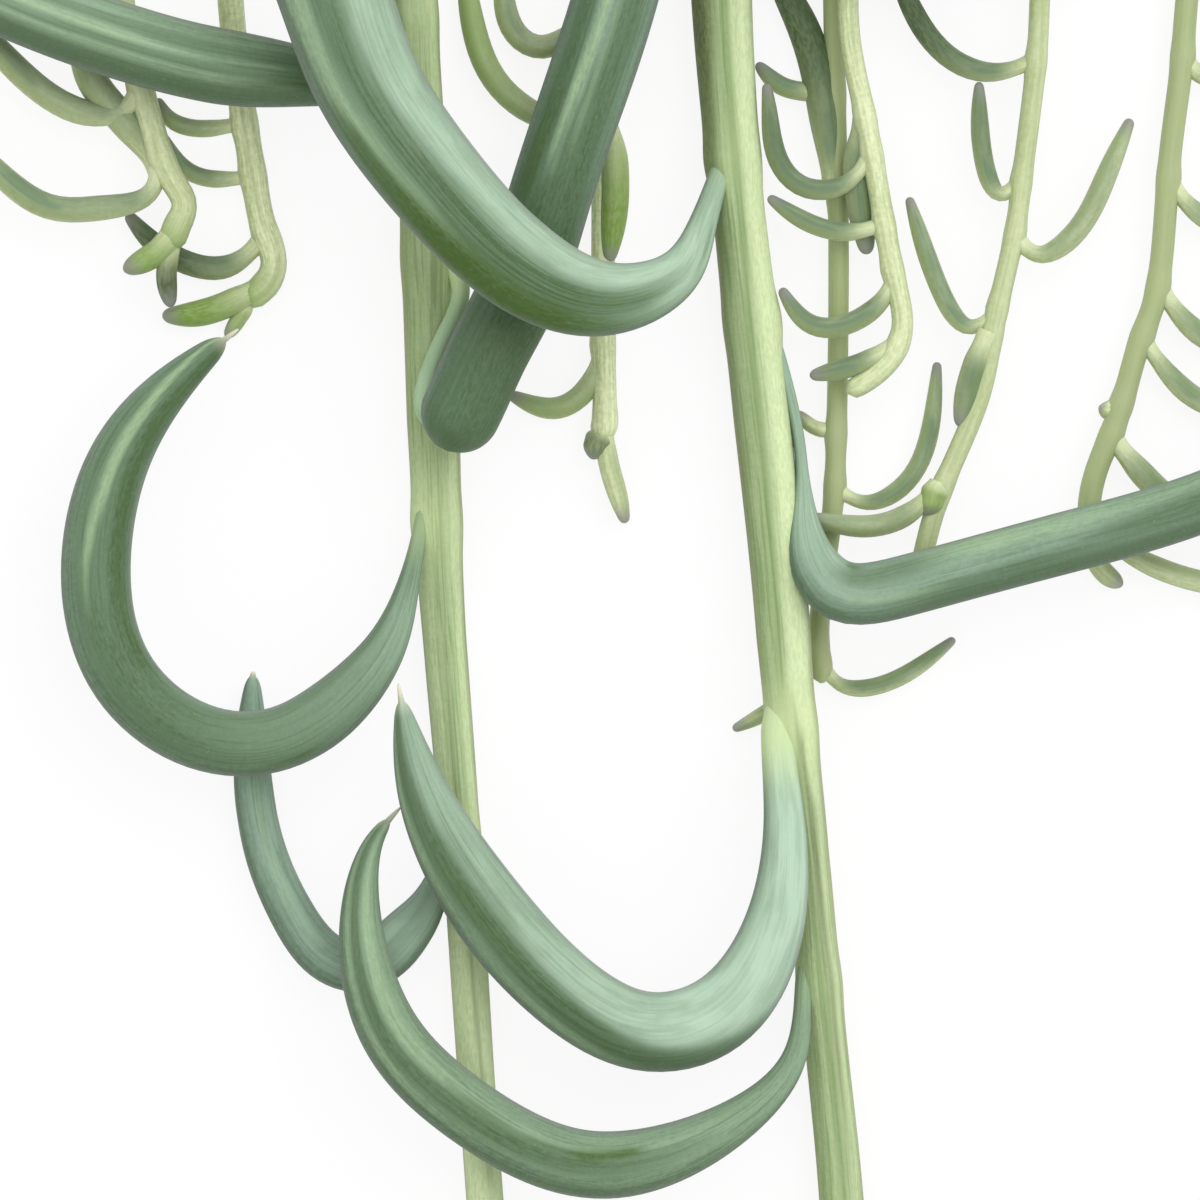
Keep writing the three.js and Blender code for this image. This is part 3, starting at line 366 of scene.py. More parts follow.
# How thick the pale wax bloom is along a leaf, and how far its green leans to blue.
USUAL_BLOOM = [(0, 0.4), (0.2, 0.7), (0.6, 0.45), (1, 0.35)]
BLOOM = {
    "left_leaf_2": [(0, 0.1), (0.3, 0.2), (0.6, 0.4), (1, 0.4)],
    "left_leaf_3": [(0, 0), (0.3, 0.05), (0.5, 0.15), (1, 0.35)],
    "left_leaf_4": [(0, 0.1), (0.12, 0.35), (0.4, 0.2), (0.7, 0.18), (1, 0.1)],
    # Near its base this bloom is raised, partly real bloom and partly painted light where right_leaf_4 and
    # the left stem shade it.
    "left_leaf_5": [(0, 0.8), (0.22, 0.8), (0.4, 0.5), (1, 0.4)],
    "right_leaf_2": [(0, 0.5), (0.12, 0.9), (0.35, 0.8), (0.6, 0.7), (1, 0.7)],
    "right_leaf_3": [(0, 0.5), (0.25, 0.7), (0.4, 0.4), (0.55, 0.2), (1, 0.15)],
    "right_leaf_4": [(0, 0.8), (0.04, 1), (0.35, 1.1), (0.5, 0.7), (0.8, 0.5), (1, 0.5)],
    "right_leaf_5": [(0, 0.3), (0.2, 0.25), (0.5, 0.25), (1, 0.25)],
}
USUAL_COOLNESS = 0.4
COOLNESS = {
    "left_leaf_2": 0.2, "left_leaf_3": 0.65, "left_leaf_5": 0.95, "right_leaf_2": 0.3,
    "right_leaf_3": 0.6, "right_leaf_5": 0.1,
}
# How fresh and yellow-green a leaf's base and the stem round it are.
USUAL_FRESHNESS = 0.15
FRESHNESS = {"right_leaf_4": 0.8, "left_leaf_4": 0.4}

# How far back inside its stem a leaf starts.
USUAL_ROOT = 4.2
ROOTS = {"right_leaf_2": 1.2}

# ---- shape details, mm unless said otherwise ----
TAPER_POWER = 2.3        # how full the pointed end of a leaf is
THREAD_LENGTH = 1.2      # the dry pale thread that ends a leaf
THREAD_RADIUS = 0.19
TIP_REACH = 2            # how far its dry colour reaches, in lengths of the thread
LEAF_END = 0.998         # the share of its route where a leaf ends
LAST_STEP = 0.02         # how near its very end a dome or a thread still has some width
THINNEST = 0.001         # the least radius that is divided by
POINT_STRETCH = 1.7      # how much longer than a half ball the pointed end of a leaf is
LEAF_WOBBLE = 0.012      # this and the next five are shares of a tube's radius
WINDOW_SINK = 0.035
LINE_RISE = 0.012
RIDGE_HEIGHT = 0.022
SCAR_RISE = 0.07
SCAR_SINK = 0.05
PRESS = 0.12             # how softly a tube flattens on what it lies on
CUT_FACE = [0.04, 0.35, 0.65, 0.86, 0.96]   # rings across a cut end, as shares of its radius

YOUNG_LENGTH = (2.5, 6)  # how far the yellow-green of a leaf's base reaches, dull and fresh
ROOT_OFFSET = 0.1        # how far off its stem's middle a leaf starts, as a share of its base's
ROOT_SHRINK = 0.6        # how much thinner than its base it is there

LEAF_RINGS = 150
LEAF_SIDES = 44
# How each kind of stem is built: swell is how much it thickens where something leaves it, and
# reach how far along; furrow and coat are how dark its furrows and how pale its coat are.
Build = namedtuple("Build", "sides ring_step ridges swell reach furrow coat collar")
STEM_BUILD = Build(40, 0.36, 8, 0.24, 1.6, 0.15, 0.2, 0.22)
CROWN_BUILD = Build(48, 0.3, 11, 0.5, 1.7, 0.8, 0.3, 0)
SHOOT_BUILD = Build(22, 0.4, 5, 0.14, 0.8, 0.3, 0, 0.5)
USUAL_DULLNESS = 0.3
COLLAR_PLACE = 2.4       # how far along a stem its corky collar is, where it leaves the crown
CORK_REACH = 2.2         # how far past the collar the cork fades out
FURROW_START = 0.1       # how far below the middle of its ridges a stem starts to darken
SCAR_SIZE = (0.6, 22)    # of the scar of a fallen leaf, mm along and degrees round
SCAR_LOOK = (0.6, 0.75)  # how pale its rim and how dark its middle are
FRESH_REACH = 1.7        # how many times further than its swelling a stem is fresh round a leaf
FRESH_PEAK = 0.7

SMALL_LEAF_RINGS = 40
SMALL_LEAF_SIDES = 20
SMALL_LEAF_SHAPE = {"neck": 0.6, "full": 0.35, "hold": 0.55, "blunt": 0.42}
SMALL_LEAF_COOLNESS = 0.3
SMALL_LEAF_MARKS = [("window", (0.1, -35, 25, 0), (0.4, -35, 25, 0.5), (0.9, -35, 30, 0.5))]
TUFT_LEAFINESS = 0.9     # how green the leaves of a growing tip are
FLARE = (0.45, 0.8)      # of a small leaf's base: a share of its radius, and how far it reaches
SHORT_LEAF = 4           # a small leaf under this length has a shorter pale base and dry tip
PALE_REACH = 1.8         # how far the pale base of a longer one reaches
TINT_REACH = 0.7         # the share of its length over which a mark grows to cover it
GREEN_START = 0.6        # where the green of a small leaf starts, and over what length it grows
GREEN_GROWTH = 2.4
DRY_TIP = (0.8, 1.6)     # how dry the tip of a small leaf is, and how far that reaches
CURVE_STEPS = 1200       # how finely a route is followed, and where a root is looked for
ROOT_STEPS = 600
SEEDS = 1000
UP = np.array([0.0, 0.0, 1.0])


def unit(vectors):
    return vectors / np.linalg.norm(vectors, axis=-1, keepdims=True)


def smooth(x):
    t = np.clip(x, 0, 1)
    return t * t * (3 - 2 * t)


def hump(x, power=2):
    """A hump of height 1 at 0, with firmer sides for a higher power."""
    return np.exp(-np.abs(x) ** power)


def wave(steps, turns, offset):
    """A wave that goes round so many times along a tube."""
    return np.sin(2 * np.pi * turns * steps + offset)


def natural_spline(knots, values, at):
    """The smooth curve through values at the knots that doesn't bend at its ends."""
    last = len(knots) - 1
    gaps = np.diff(knots)
    slopes = np.diff(values, axis=0) / gaps[:, None]
    system = np.eye(last + 1)
    pulls = np.zeros_like(values)
    for i in range(1, last):
        system[i, i - 1:i + 2] = gaps[i - 1], 2 * (gaps[i - 1] + gaps[i]), gaps[i]
        pulls[i] = 6 * (slopes[i] - slopes[i - 1])
    bends = np.linalg.solve(system, pulls)
    i = np.clip(np.searchsorted(knots, at, side="right") - 1, 0, last - 1)
    gap = gaps[i][:, None]
    after = (at - knots[i])[:, None]
    before = gap - after
    straight = (values[i] * before + values[i + 1] * after) / gap
    bow = bends[i] * before * (before**2 - gap**2) + bends[i + 1] * after * (after**2 - gap**2)
    return straight + bow / (6 * gap)


def follow(route, steps=np.array([0, 1])):
    """Points at shares of the length of the smooth curve through a route, and that length."""
    points = np.array(route, float)
    hops = np.sqrt(np.linalg.norm(np.diff(points, axis=0), axis=1))
    knots = np.concatenate([[0], np.cumsum(hops)])
    curve = natural_spline(knots, points, np.linspace(0, knots[-1], CURVE_STEPS))
    travelled = np.linalg.norm(np.diff(curve, axis=0), axis=1).cumsum()
    travelled = np.concatenate([[0], travelled])
    length = travelled[-1]
    even = [np.interp(steps * length, travelled, values) for values in curve.T]
    return np.stack(even, axis=1), length


def crowded_steps(count, crowding=0.7):
    """Shares from 0 to 1 that crowd together at both ends, where tubes are pointed or domed."""
    even = np.linspace(0, 1, count)
    return even - crowding * np.sin(2 * np.pi * even) / (2 * np.pi)


def round_angles(sides):
    return np.linspace(-np.pi, np.pi, sides, endpoint=False)


def angle_from(angles, middle):
    """Signed degrees from a middle angle, in degrees, to each angle, in radians."""
    return (np.degrees(angles) - middle + 180) % 360 - 180


def edge_share(angles, start=0.82):
    """How near an angle is to either flank of a tube that lies flat, from 0 to 1."""
    return smooth((np.abs(np.sin(angles)) - start) / (1 - start))


def mark_fields(marks, steps, angles):
    """The strength of windows, lines and streaks at every ring and angle."""
    fields = {kind: np.zeros((len(steps), len(angles))) for kind in ("window", "line", "streak")}
    for kind, *points in marks:
        along, *columns = np.array(points, float).T
        middle, half, strength = (np.interp(steps, along, column)[:, None] for column in columns)
        band = strength * hump(angle_from(angles, middle) / half, power=4)
        fields[kind] = np.maximum(fields[kind], band)
    return fields


def domed(radius, from_end):
    """A radius that closes in a round dome at the end that from_end is measured from."""
    reach = np.clip(from_end / np.maximum(radius, THINNEST), LAST_STEP, 1)
    return radius * np.sqrt(reach * (2 - reach))


def leaf_radius(leaf, steps, length, thread_length=0):
    """A banana leaf: a narrow neck, a swell to full thickness, a pointed end and its thread."""
    start = leaf.get("start", 0)
    swell = leaf["neck"] + (1 - leaf["neck"]) * smooth((steps - start) / (leaf["full"] - start))
    slim = leaf.get("slim", 1)
    growth = slim + (1 - slim) * np.minimum(steps / leaf["hold"], 1)
    point = 1 - thread_length / length
    gone = np.clip((steps - leaf["hold"]) / (point - leaf["hold"]), 0, 1) ** TAPER_POWER
    taper = 1 - (1 - leaf.get("blunt", 0)) * gone
    radius = leaf["thick"] / 2 * growth * swell * taper
    if not thread_length:
        return domed(radius, (1 - steps) * length)
    radius = np.where(steps < point, domed(radius, (point - steps) * length / POINT_STRETCH), 0)
    thread = np.sqrt(np.clip((1 - steps) * length / thread_length, LAST_STEP, 1))
    return np.maximum(radius, THREAD_RADIUS * thread)


def add_object(name, data):
    thing = bpy.data.objects.new(name, data)
    SCENE.collection.objects.link(thing)
    return thing


class Growth:
    """Tubes gathered into one mesh, with what its skin needs to know at each point.

    flow: distance along, then the place round the tube, in mm, for grain that runs lengthwise
    marks: window, line and streak; tone: bloom, coolness and youth; end: rim (painted edge shade on the
    flanks), tip and bare wood
    """

    def __init__(self, name):
        self.name = name
        self.seed = zlib.crc32(name.encode()) % SEEDS
        self.points = []
        self.faces = []
        self.fields = {"flow": [], "marks": [], "tone": [], "end": []}

    def add_tube(self, route, steps, radius, sides, angle_radius, relief=1, cut=False, **fields):
        """A closed tube. relief and the fields are worked out on its rings and angles."""
        centres, length = follow(route, steps)
        ahead = unit(np.gradient(centres, axis=0))
        across = unit(np.cross(ahead, UP))
        over = np.cross(across, ahead)
        angles = round_angles(sides)
        order = np.arange(len(steps))
        shrink = np.ones(len(steps))
        if cut:
            order = np.concatenate([np.zeros(len(CUT_FACE), int), order])
            shrink = np.concatenate([CUT_FACE, shrink])
        wide = (radius[:, None] * relief)[order] * shrink[:, None]
        out = np.sin(angles)[None, :, None] * across[order][:, None, :]
        out = out + np.cos(angles)[None, :, None] * over[order][:, None, :]
        body = centres[order][:, None, :] + wide[..., None] * out
        self.add_faces(sum(len(p) for p in self.points), len(order), sides)
        self.points.append(np.concatenate([body.reshape(-1, 3), centres[[0, -1]]]))
        around = angle_radius * np.array([np.sin(angles), np.cos(angles)])
        fields["flow"] = [(steps * length + self.seed)[:, None], *around]
        for kind, columns in fields.items():
            grid = [np.broadcast_to(column, (len(steps), sides)) for column in columns]
            grid = np.stack(grid, axis=-1)[order]
            if kind == "end" and cut:
                grid[:len(CUT_FACE), :, 2] = 1
            self.fields[kind].append(np.concatenate([grid.reshape(-1, 3), grid[[0, -1], 0]]))

    def add_faces(self, first, rings, sides):
        ring = first + sides * np.arange(rings)[:, None] + np.arange(sides)
        beside = np.roll(ring, -1, axis=1)
        walls = np.stack([ring[:-1], beside[:-1], beside[1:], ring[1:]], axis=-1)
        self.faces += walls.reshape(-1, 4).tolist()
        start = first + sides * rings
        self.faces += [(start, b, a) for a, b in zip(ring[0].tolist(), beside[0].tolist())]
        self.faces += [(start + 1, a, b) for a, b in zip(ring[-1].tolist(), beside[-1].tolist())]

    def finish(self, material, slot):
        """Makes the mesh, rests it on z = 0 and puts it in the place of its node."""
        points = np.concatenate(self.points)
        height = points[:, 2]
        points[:, 2] = (height + np.sqrt(height**2 + PRESS**2)) / 2
        mesh = bpy.data.meshes.new(self.name + "_skin")
        mesh.from_pydata((points * MM).tolist(), [], self.faces)
        mesh.polygons.foreach_set("use_smooth", np.ones(len(mesh.polygons), bool))
        for kind, values in self.fields.items():
            attribute = mesh.attributes.new(kind, "FLOAT_VECTOR", "POINT")
            attribute.data.foreach_set("vector", np.concatenate(values).astype(np.float32).ravel())
        mesh.materials.append(material)
        piece = add_object(self.name + "_skin", mesh)
        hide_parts(self.name)
        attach(piece, "root")


# ---- growing each kind of piece ----
def wobble(seed, steps, angles, turn=0.7, quick_share=0.5):
    """A slow seeded unevenness of a tube, the same at each run."""
    start = seed * turn
    slow = wave(steps[:, None], turns=1.3, offset=start + angles)
    quick = wave(steps[:, None], turns=3.1, offset=2 * start - 2 * angles)
    return slow + quick_share * quick


def rooted(route, stem_route, root):
    """A leaf's route with a start drawn back along its stem, so that it parts from it slowly."""
    centres = follow(stem_route, np.linspace(0, 1, ROOT_STEPS))[0]
    base, after = np.array(route[0]), np.array(route[1])
    i = np.linalg.norm(centres - base, axis=1).argmin()
    way = np.sign((after - base) @ (centres[i + 1] - centres[i - 1]))
    travelled = np.linalg.norm(centres - centres[i], axis=1)
    behind = (np.arange(ROOT_STEPS) - i) * way < 0
    j = np.where(behind, np.abs(travelled - root), np.inf).argmin()
    lift = base - centres[i]
    on_top = lift[2] > np.linalg.norm(lift) / 2
    return [(centres[j] + ROOT_OFFSET * lift).tolist(), *route[0 if on_top else 1:]]


def add_leaf(growth, leaf, stem_route):
    """A big leaf. Shares of its length are counted from where its own route starts."""
    name = growth.name
    stalk = leaf.get("stalk")
    steps = crowded_steps(LEAF_RINGS) * LEAF_END
    angles = round_angles(LEAF_SIDES)
    root = ROOTS.get(name, USUAL_ROOT)
    route = leaf["route"] if stalk else rooted(leaf["route"], stem_route, root)
    own_length = follow(leaf["route"])[1]
    length = follow(route)[1]
    own = 1 - (1 - steps) * length / own_length
    thread = leaf.get("thread", THREAD_LENGTH)
    radius = leaf_radius(leaf, own, own_length, thread)
    if stalk:
        radius = np.minimum(radius, domed(radius, steps * length))
    else:
        radius = radius * (1 - ROOT_SHRINK * smooth(-own * own_length / root))
    own = np.maximum(own, 0)
    marks = mark_fields(MARKS.get(name, USUAL_MARKS) + HIDDEN_WINDOWS, own, angles)
    relief = 1 - WINDOW_SINK * marks["window"] + LINE_RISE * marks["line"]
    relief = relief + LEAF_WOBBLE * wobble(growth.seed, own, angles)
    bloom = np.interp(own, *np.array(BLOOM.get(name, USUAL_BLOOM)).T)[:, None]
    young = 0 if stalk else FRESHNESS.get(name, USUAL_FRESHNESS)
    young_length = np.interp(young, [0, 1], YOUNG_LENGTH)
    young = young * (1 - smooth(own * own_length / young_length)[:, None])
    from_tip = (1 - steps[:, None]) * length
    growth.add_tube(
        route, steps, radius, LEAF_SIDES, leaf["thick"] / 2, relief,
        marks=marks.values(), tone=[bloom, COOLNESS.get(name, USUAL_COOLNESS), young],
        end=[edge_share(angles), 1 - smooth(from_tip / (TIP_REACH * thread)), 0],
    )
    if stalk:
        add_stalk(growth, **stalk)


def stem_radius(diameters, steps):
    return np.interp(steps, np.linspace(0, 1, len(diameters)), diameters) / 2


def add_stalk(growth, diameters, route, pale=0.7, bloom=0.9, coolness=0.5, young_share=0.4):
    steps = crowded_steps(LEAF_RINGS // 3)
    radius = stem_radius(diameters, steps)
    growth.add_tube(
        route, steps, radius, LEAF_SIDES, radius.max(), marks=[0, pale, 0],
        tone=[bloom, coolness, 1 - smooth(steps / young_share)[:, None]], end=[0, 0, 0],
    )


def leave_places(route, bases, steps, angles, reach, least=0.4, spread=75):
    """How near each place on a stem is to what leaves it, from 0 to 1, and how fresh it is there.

    Each base has its place, where it heads and its freshness. Seen round the stem, the swelling
    falls off over the spread, in degrees, to its least share on the far side.
    """
    centres, length = follow(route, steps)
    near = np.zeros((len(steps), len(angles)))
    fresh = np.zeros_like(near)
    for base, towards, freshness in bases:
        i = np.linalg.norm(centres - base, axis=1).argmin()
        away = ((steps - steps[i]) * length / reach)[:, None]
        ahead = unit(np.gradient(centres, axis=0)[i])
        across = unit(np.cross(ahead, UP))
        way = np.array(towards) - centres[i]
        middle = math.degrees(math.atan2(way @ across, way @ np.cross(across, ahead)))
        around = least + (1 - least) * hump(angle_from(angles, middle) / spread)
        near = np.maximum(near, hump(away) * around)
        fresh = np.maximum(fresh, hump(away / FRESH_REACH) * around * freshness * FRESH_PEAK)
    return near, fresh


def stem_lines(seed, steps, angles, ridges, turn=0.37, sway=0.35, twist=0.5, fading=0.35):
    """Ridges along a stem, from -1 in a furrow to 1 on a crest, that sway, twist and fade."""
    start = seed * turn
    wander = sway * wave(steps, turns=1.7, offset=start) + twist * steps
    crest = np.cos(ridges * (angles + wander[:, None]) + start)
    fade = 1 - fading + fading * wave(steps[:, None], turns=2.3, offset=3 * angles + start)
    return crest * fade


def scar_shapes(scars, steps, angles, length, rim_width=0.35, middle_width=0.6):
    """The raised rims and the sunk middles of leaf scars, from their shares and angles."""
    rims = np.zeros((len(steps), len(angles)))
    middles = np.zeros_like(rims)
    for along, middle in scars:
        off = ((steps - along) * length / SCAR_SIZE[0])[:, None]
        distance = np.hypot(off, angle_from(angles, middle) / SCAR_SIZE[1])
        rims = np.maximum(rims, hump((distance - 1) / rim_width))
        middles = np.maximum(middles, hump(distance / middle_width, power=4))
    return rims, middles


def add_stem(growth, stem, bases, build, marks=(), scars=(), cut=False):
    """A stem or the stem of a shoot. It starts inside its neighbour or with a clean cut."""
    length = follow(stem["route"])[1]
    steps = np.linspace(0, 1, round(length / build.ring_step))
    angles = round_angles(build.sides)
    near, fresh = leave_places(stem["route"], bases, steps, angles, build.reach)
    lines = stem_lines(growth.seed, steps, angles, build.ridges)
    radius = stem_radius(stem["diameters"], steps)
    rims, middles = scar_shapes(scars, steps, angles, length)
    past_collar = (steps * length - COLLAR_PLACE)[:, None]
    relief = 1 + RIDGE_HEIGHT * lines + build.swell * near / radius[:, None]
    relief = relief + build.collar * hump(past_collar) + SCAR_RISE * rims - SCAR_SINK * middles
    radius = np.minimum(radius, domed(radius, (1 - steps) * length))
    window, line, streak = mark_fields(marks, steps, angles).values()
    furrow = build.furrow * smooth(-lines - FURROW_START) * (1 - near) * (1 - rims)
    dark = np.maximum(furrow, SCAR_LOOK[1] * middles)
    corky = (build.collar > 0) * (1 - smooth(past_collar / CORK_REACH))
    growth.add_tube(
        stem["route"], steps, radius, build.sides, radius.max(), relief, cut,
        marks=[np.maximum(window, dark), np.maximum(line, SCAR_LOOK[0] * rims), streak],
        tone=[build.coat, stem.get("dullness", USUAL_DULLNESS), fresh * (1 - streak)],
        end=[edge_share(angles), 0, corky],
    )


def add_small_leaf(growth, leaf, leafiness=1):
    """A leaf of a shoot or a growing tip: a pale base, a green middle and a dry tip."""
    steps = crowded_steps(SMALL_LEAF_RINGS) * LEAF_END
    angles = round_angles(SMALL_LEAF_SIDES)
    length = follow(leaf["route"])[1]
    along = steps[:, None] * length
    short = min(1, length / SHORT_LEAF)
    radius = leaf_radius({**leaf, **SMALL_LEAF_SHAPE}, steps, length)
    radius = radius * (1 + FLARE[0] * short * hump(steps * length / FLARE[1]))
    marks = mark_fields(SMALL_LEAF_MARKS, steps, angles)
    youth = 1 - smooth(along / (PALE_REACH * short))
    for kind, strength in leaf["tint"].items():
        if kind != "streak":
            leafiness = leafiness * (1 - strength)
        if kind != "pale":
            cover = strength * smooth(steps[:, None] / (TINT_REACH * short))
            marks[kind] = np.maximum(marks[kind], cover)
            youth = youth * (1 - strength)
    green = leafiness * smooth((along - GREEN_START) / GREEN_GROWTH)
    dryness = DRY_TIP[0] * (1 - smooth((1 - steps[:, None]) * length / (DRY_TIP[1] * short)))
    growth.add_tube(
        leaf["route"], steps, radius, SMALL_LEAF_SIDES, leaf["thick"] / 2, marks=marks.values(),
        tone=[green, SMALL_LEAF_COOLNESS, youth], end=[edge_share(angles), dryness, 0],
    )


# ---- skins ----
class Wire:
    """One socket of a skin's nodes. Arithmetic on it adds Math nodes."""

    def __init__(self, skin, socket):
        self.skin = skin
        self.socket = socket

    def math(self, operation, *values):
        return self.skin.node("ShaderNodeMath", {"operation": operation}, dict(enumerate(values)))

    def __add__(self, other):
        return self.math("ADD", self, other)

    def __sub__(self, other):
        return self.math("SUBTRACT", self, other)

    def __rsub__(self, other):
        return self.math("SUBTRACT", other, self)

    def __mul__(self, other):
        return self.math("MULTIPLY", self, other)

    __radd__ = __add__
    __rmul__ = __mul__


class Skin:
    """One material, made of nodes."""

    def __init__(self, name):
        self.material = bpy.data.materials.new(name)
        self.material.use_nodes = True
        self.tree = self.material.node_tree
        self.tree.nodes.clear()

    def node(self, kind, settings=None, sockets=None, output=0):
        node = self.tree.nodes.new(kind)
        for name, value in (settings or {}).items():
            setattr(node, name, value)
        for key, value in (sockets or {}).items():
            if isinstance(value, Wire):
                self.tree.links.new(value.socket, node.inputs[key])
            else:
                node.inputs[key].default_value = value
        return Wire(self, node.outputs[output]) if node.outputs else None

    def field(self, name):
        settings = {"attribute_type": "GEOMETRY", "attribute_name": name}
        return self.node("ShaderNodeAttribute", settings, output="Vector")

    def numbers(self, name):
        """The three numbers of a field, one wire each."""
        parts = self.node("ShaderNodeSeparateXYZ", {}, {"Vector": self.field(name)})
        return [Wire(self, socket) for socket in parts.socket.node.outputs]

    def noise(self, place, along, across, detail):
        """Cloudy noise round 0.5, so fine along the first axis and across it."""
        sockets = {0: place, 1: (along, across, across)}
        place = self.node("ShaderNodeVectorMath", {"operation": "MULTIPLY"}, sockets)
        return self.node("ShaderNodeTexNoise", {}, {"Vector": place, "Scale": 1, "Detail": detail})

    def ramp(self, value, low, high, lowest=0, highest=1):
        sockets = {"Value": value, "From Min": low, "From Max": high}
        sockets.update({"To Min": lowest, "To Max": highest})
        return self.node("ShaderNodeMapRange", {"interpolation_type": "SMOOTHSTEP"}, sockets)

    def paint(self, under, over, amount):
        """One colour over another, where the amount says."""
        sockets = {0: amount, 6: under, 7: over}
        return self.node("ShaderNodeMix", {"data_type": "RGBA"}, sockets, output=2)

    def finish(self, shader):
        self.node("ShaderNodeOutputMaterial", {}, {"Surface": shader})
        return self.material


def colour(red, green, blue):
    """A colour given as it looks on a screen, from 0 to 255, as a shader takes it."""
    screen = np.array([red, green, blue]) / 255
    light = np.where(screen > 0.04045, ((screen + 0.055) / 1.055) ** 2.4, screen / 12.92)
    return [*light.tolist(), 1]


SUN_SIDE = (0.42, 0.62, 0.66)   # roughly the way toward the lamp: the side turned from it gets painted shade, the side toward it a painted paler coat
BUMP_DEPTH = 0.15
REFRACTION = 1.4
GLOW_THROUGH = (0.1, 0.4)       # the share of light that goes through the skin, and how deep
# The colours of waxy leaves, green stems, the corky crown and young shoots. The coat is the pale
# bloom, but on a shoot it is the grey-green of the small leaves.
COLOURS = {
    "flesh": [(122, 148, 110), (170, 190, 136), (160, 150, 106), (236, 244, 200)],
    "cool": [(115, 143, 130), (164, 184, 142), (146, 152, 100), (150, 162, 118)],
    "deep": [(80, 104, 76), (136, 158, 104), (122, 106, 74), (166, 180, 122)],
    "window": [(72, 98, 60), (112, 138, 80), (96, 82, 56), (128, 148, 94)],
    "line": [(172, 200, 156), (214, 230, 180), (190, 182, 146), (122, 154, 68)],
    "streak": [(68, 96, 34), (92, 102, 62), (88, 70, 48), (76, 94, 62)],
    "coat": [(178, 204, 180), (196, 208, 172), (192, 184, 156), (114, 136, 104)],
    # The rim is painted edge shade, a grey tone along both flanks of every tube.
    "rim": [(120, 122, 122), (150, 142, 120), (144, 138, 112), (156, 162, 146)],
    "young": [(208, 226, 166), (214, 230, 170), (170, 176, 118), (208, 216, 176)],
    "tip": [(226, 224, 200), (200, 206, 160), (146, 152, 100), (138, 136, 134)],
    "bare": [(200, 215, 160), (156, 146, 104), (222, 212, 178), (160, 150, 108)],
}


def plant_skin(name, column, roughness=0.62, bump=0.3, flecks=0.08, dashes=0.35, shady=0.45):
    """Green flesh with lengthwise fibres and marks, under a mealy coat.

    flecks, dashes and shady are how strong pale flecks, dark dashes and the shaded side are.
    """
    skin = Skin(name)
    flow = skin.field("flow")
    window, line, streak = skin.numbers("marks")
    coat, cool, young = skin.numbers("tone")
    rim, tip, bare = skin.numbers("end")
    facing = {0: skin.node("ShaderNodeNewGeometry", output="Normal"), 1: SUN_SIDE}
    sun = skin.node("ShaderNodeVectorMath", {"operation": "DOT_PRODUCT"}, facing, output="Value")
    fibres = skin.noise(flow, 0.12, 5, 1)
    grain = skin.noise(flow, 2, 5.5, 2)
    ticks = skin.noise(flow, 4.5, 2, 2)
    mottle = skin.noise(flow, 0.3, 0.8, 2)
    specks = skin.ramp(skin.noise(flow, 3, 3.6, 1), 0.68, 0.76)
    dashed = skin.ramp(skin.noise(flow, 0.14, 4.5, 2), 0.54, 0.62)

    uneven = skin.ramp(fibres, 0.4, 0.62) * 0.26 + skin.ramp(grain, 0.4, 0.62) * 0.24
    uneven = uneven + skin.ramp(mottle, 0.4, 0.7) * 0.18 + skin.ramp(ticks, 0.38, 0.62) * 0.12
    # Painted shade: the deep colour grows on the side turned away from the lamp.
    shaded = (1 - skin.ramp(sun, -0.35, 0.75)) * shady
    dusty = skin.ramp(mottle, 0.35, 0.65, 0.75, 1.05) * skin.ramp(fibres, 0.4, 0.6, 1.05, 0.92)
    worn = skin.ramp(grain, 0.35, 0.65, 0, 0.34) * (1 - coat)
    frayed = skin.ramp(fibres, 0.38, 0.62, 1.12, 0.9) * (1 - worn)
    ragged = skin.ramp(grain, 0.35, 0.65, 1.1, 0.8)
    shade = {use: colour(*row[column]) for use, row in COLOURS.items()}
    paint = shade["flesh"]
    for use, amount in [
        ("cool", cool),
        ("deep", uneven + shaded),
        # Painted highlight: the real bloom coat is painted paler on the side toward the lamp.
        ("coat", coat * dusty * skin.ramp(sun, -0.3, 0.85, 0.1, 1)),
        # Painted edge shade along both flanks.
        ("rim", rim * 0.45),
        ("window", window * frayed),
        ("window", dashed * (1 - young) * (1.2 - coat) * dashes),
        ("line", line * ragged),
        ("streak", streak * ragged),
        ("young", young * 0.9),
        ("coat", specks * flecks),
        ("tip", tip),
        ("bare", bare),
    ]:
        paint = skin.paint(paint, shade[use], amount)

    height = fibres * 0.3 + grain * 0.4 + ticks * 0.3
    relief = {"Strength": bump, "Distance": BUMP_DEPTH * MM, "Height": height}
    dull = skin.ramp(ticks, 0.3, 0.7, roughness - 0.05, roughness + 0.05) + coat * 0.15
    return skin.finish(skin.node("ShaderNodeBsdfPrincipled", {}, {
        "Base Color": paint, "Roughness": dull - window * 0.08, "IOR": REFRACTION,
        "Normal": skin.node("ShaderNodeBump", {}, relief),
        "Subsurface Weight": GLOW_THROUGH[0], "Subsurface Scale": GLOW_THROUGH[1] * MM,
    }))


LEAF_SKIN = plant_skin("waxy leaf", 0)
STEM_SKIN = plant_skin("green stem", 1, bump=0.4, flecks=0.1, dashes=0.5)
CROWN_SKIN = plant_skin("corky crown", 2, 0.75, 0.9, flecks=0.5, dashes=0.6)
SHOOT_SKIN = plant_skin("young shoot", 3, 0.5, 0.2, flecks=0, dashes=0.1, shady=0.35)


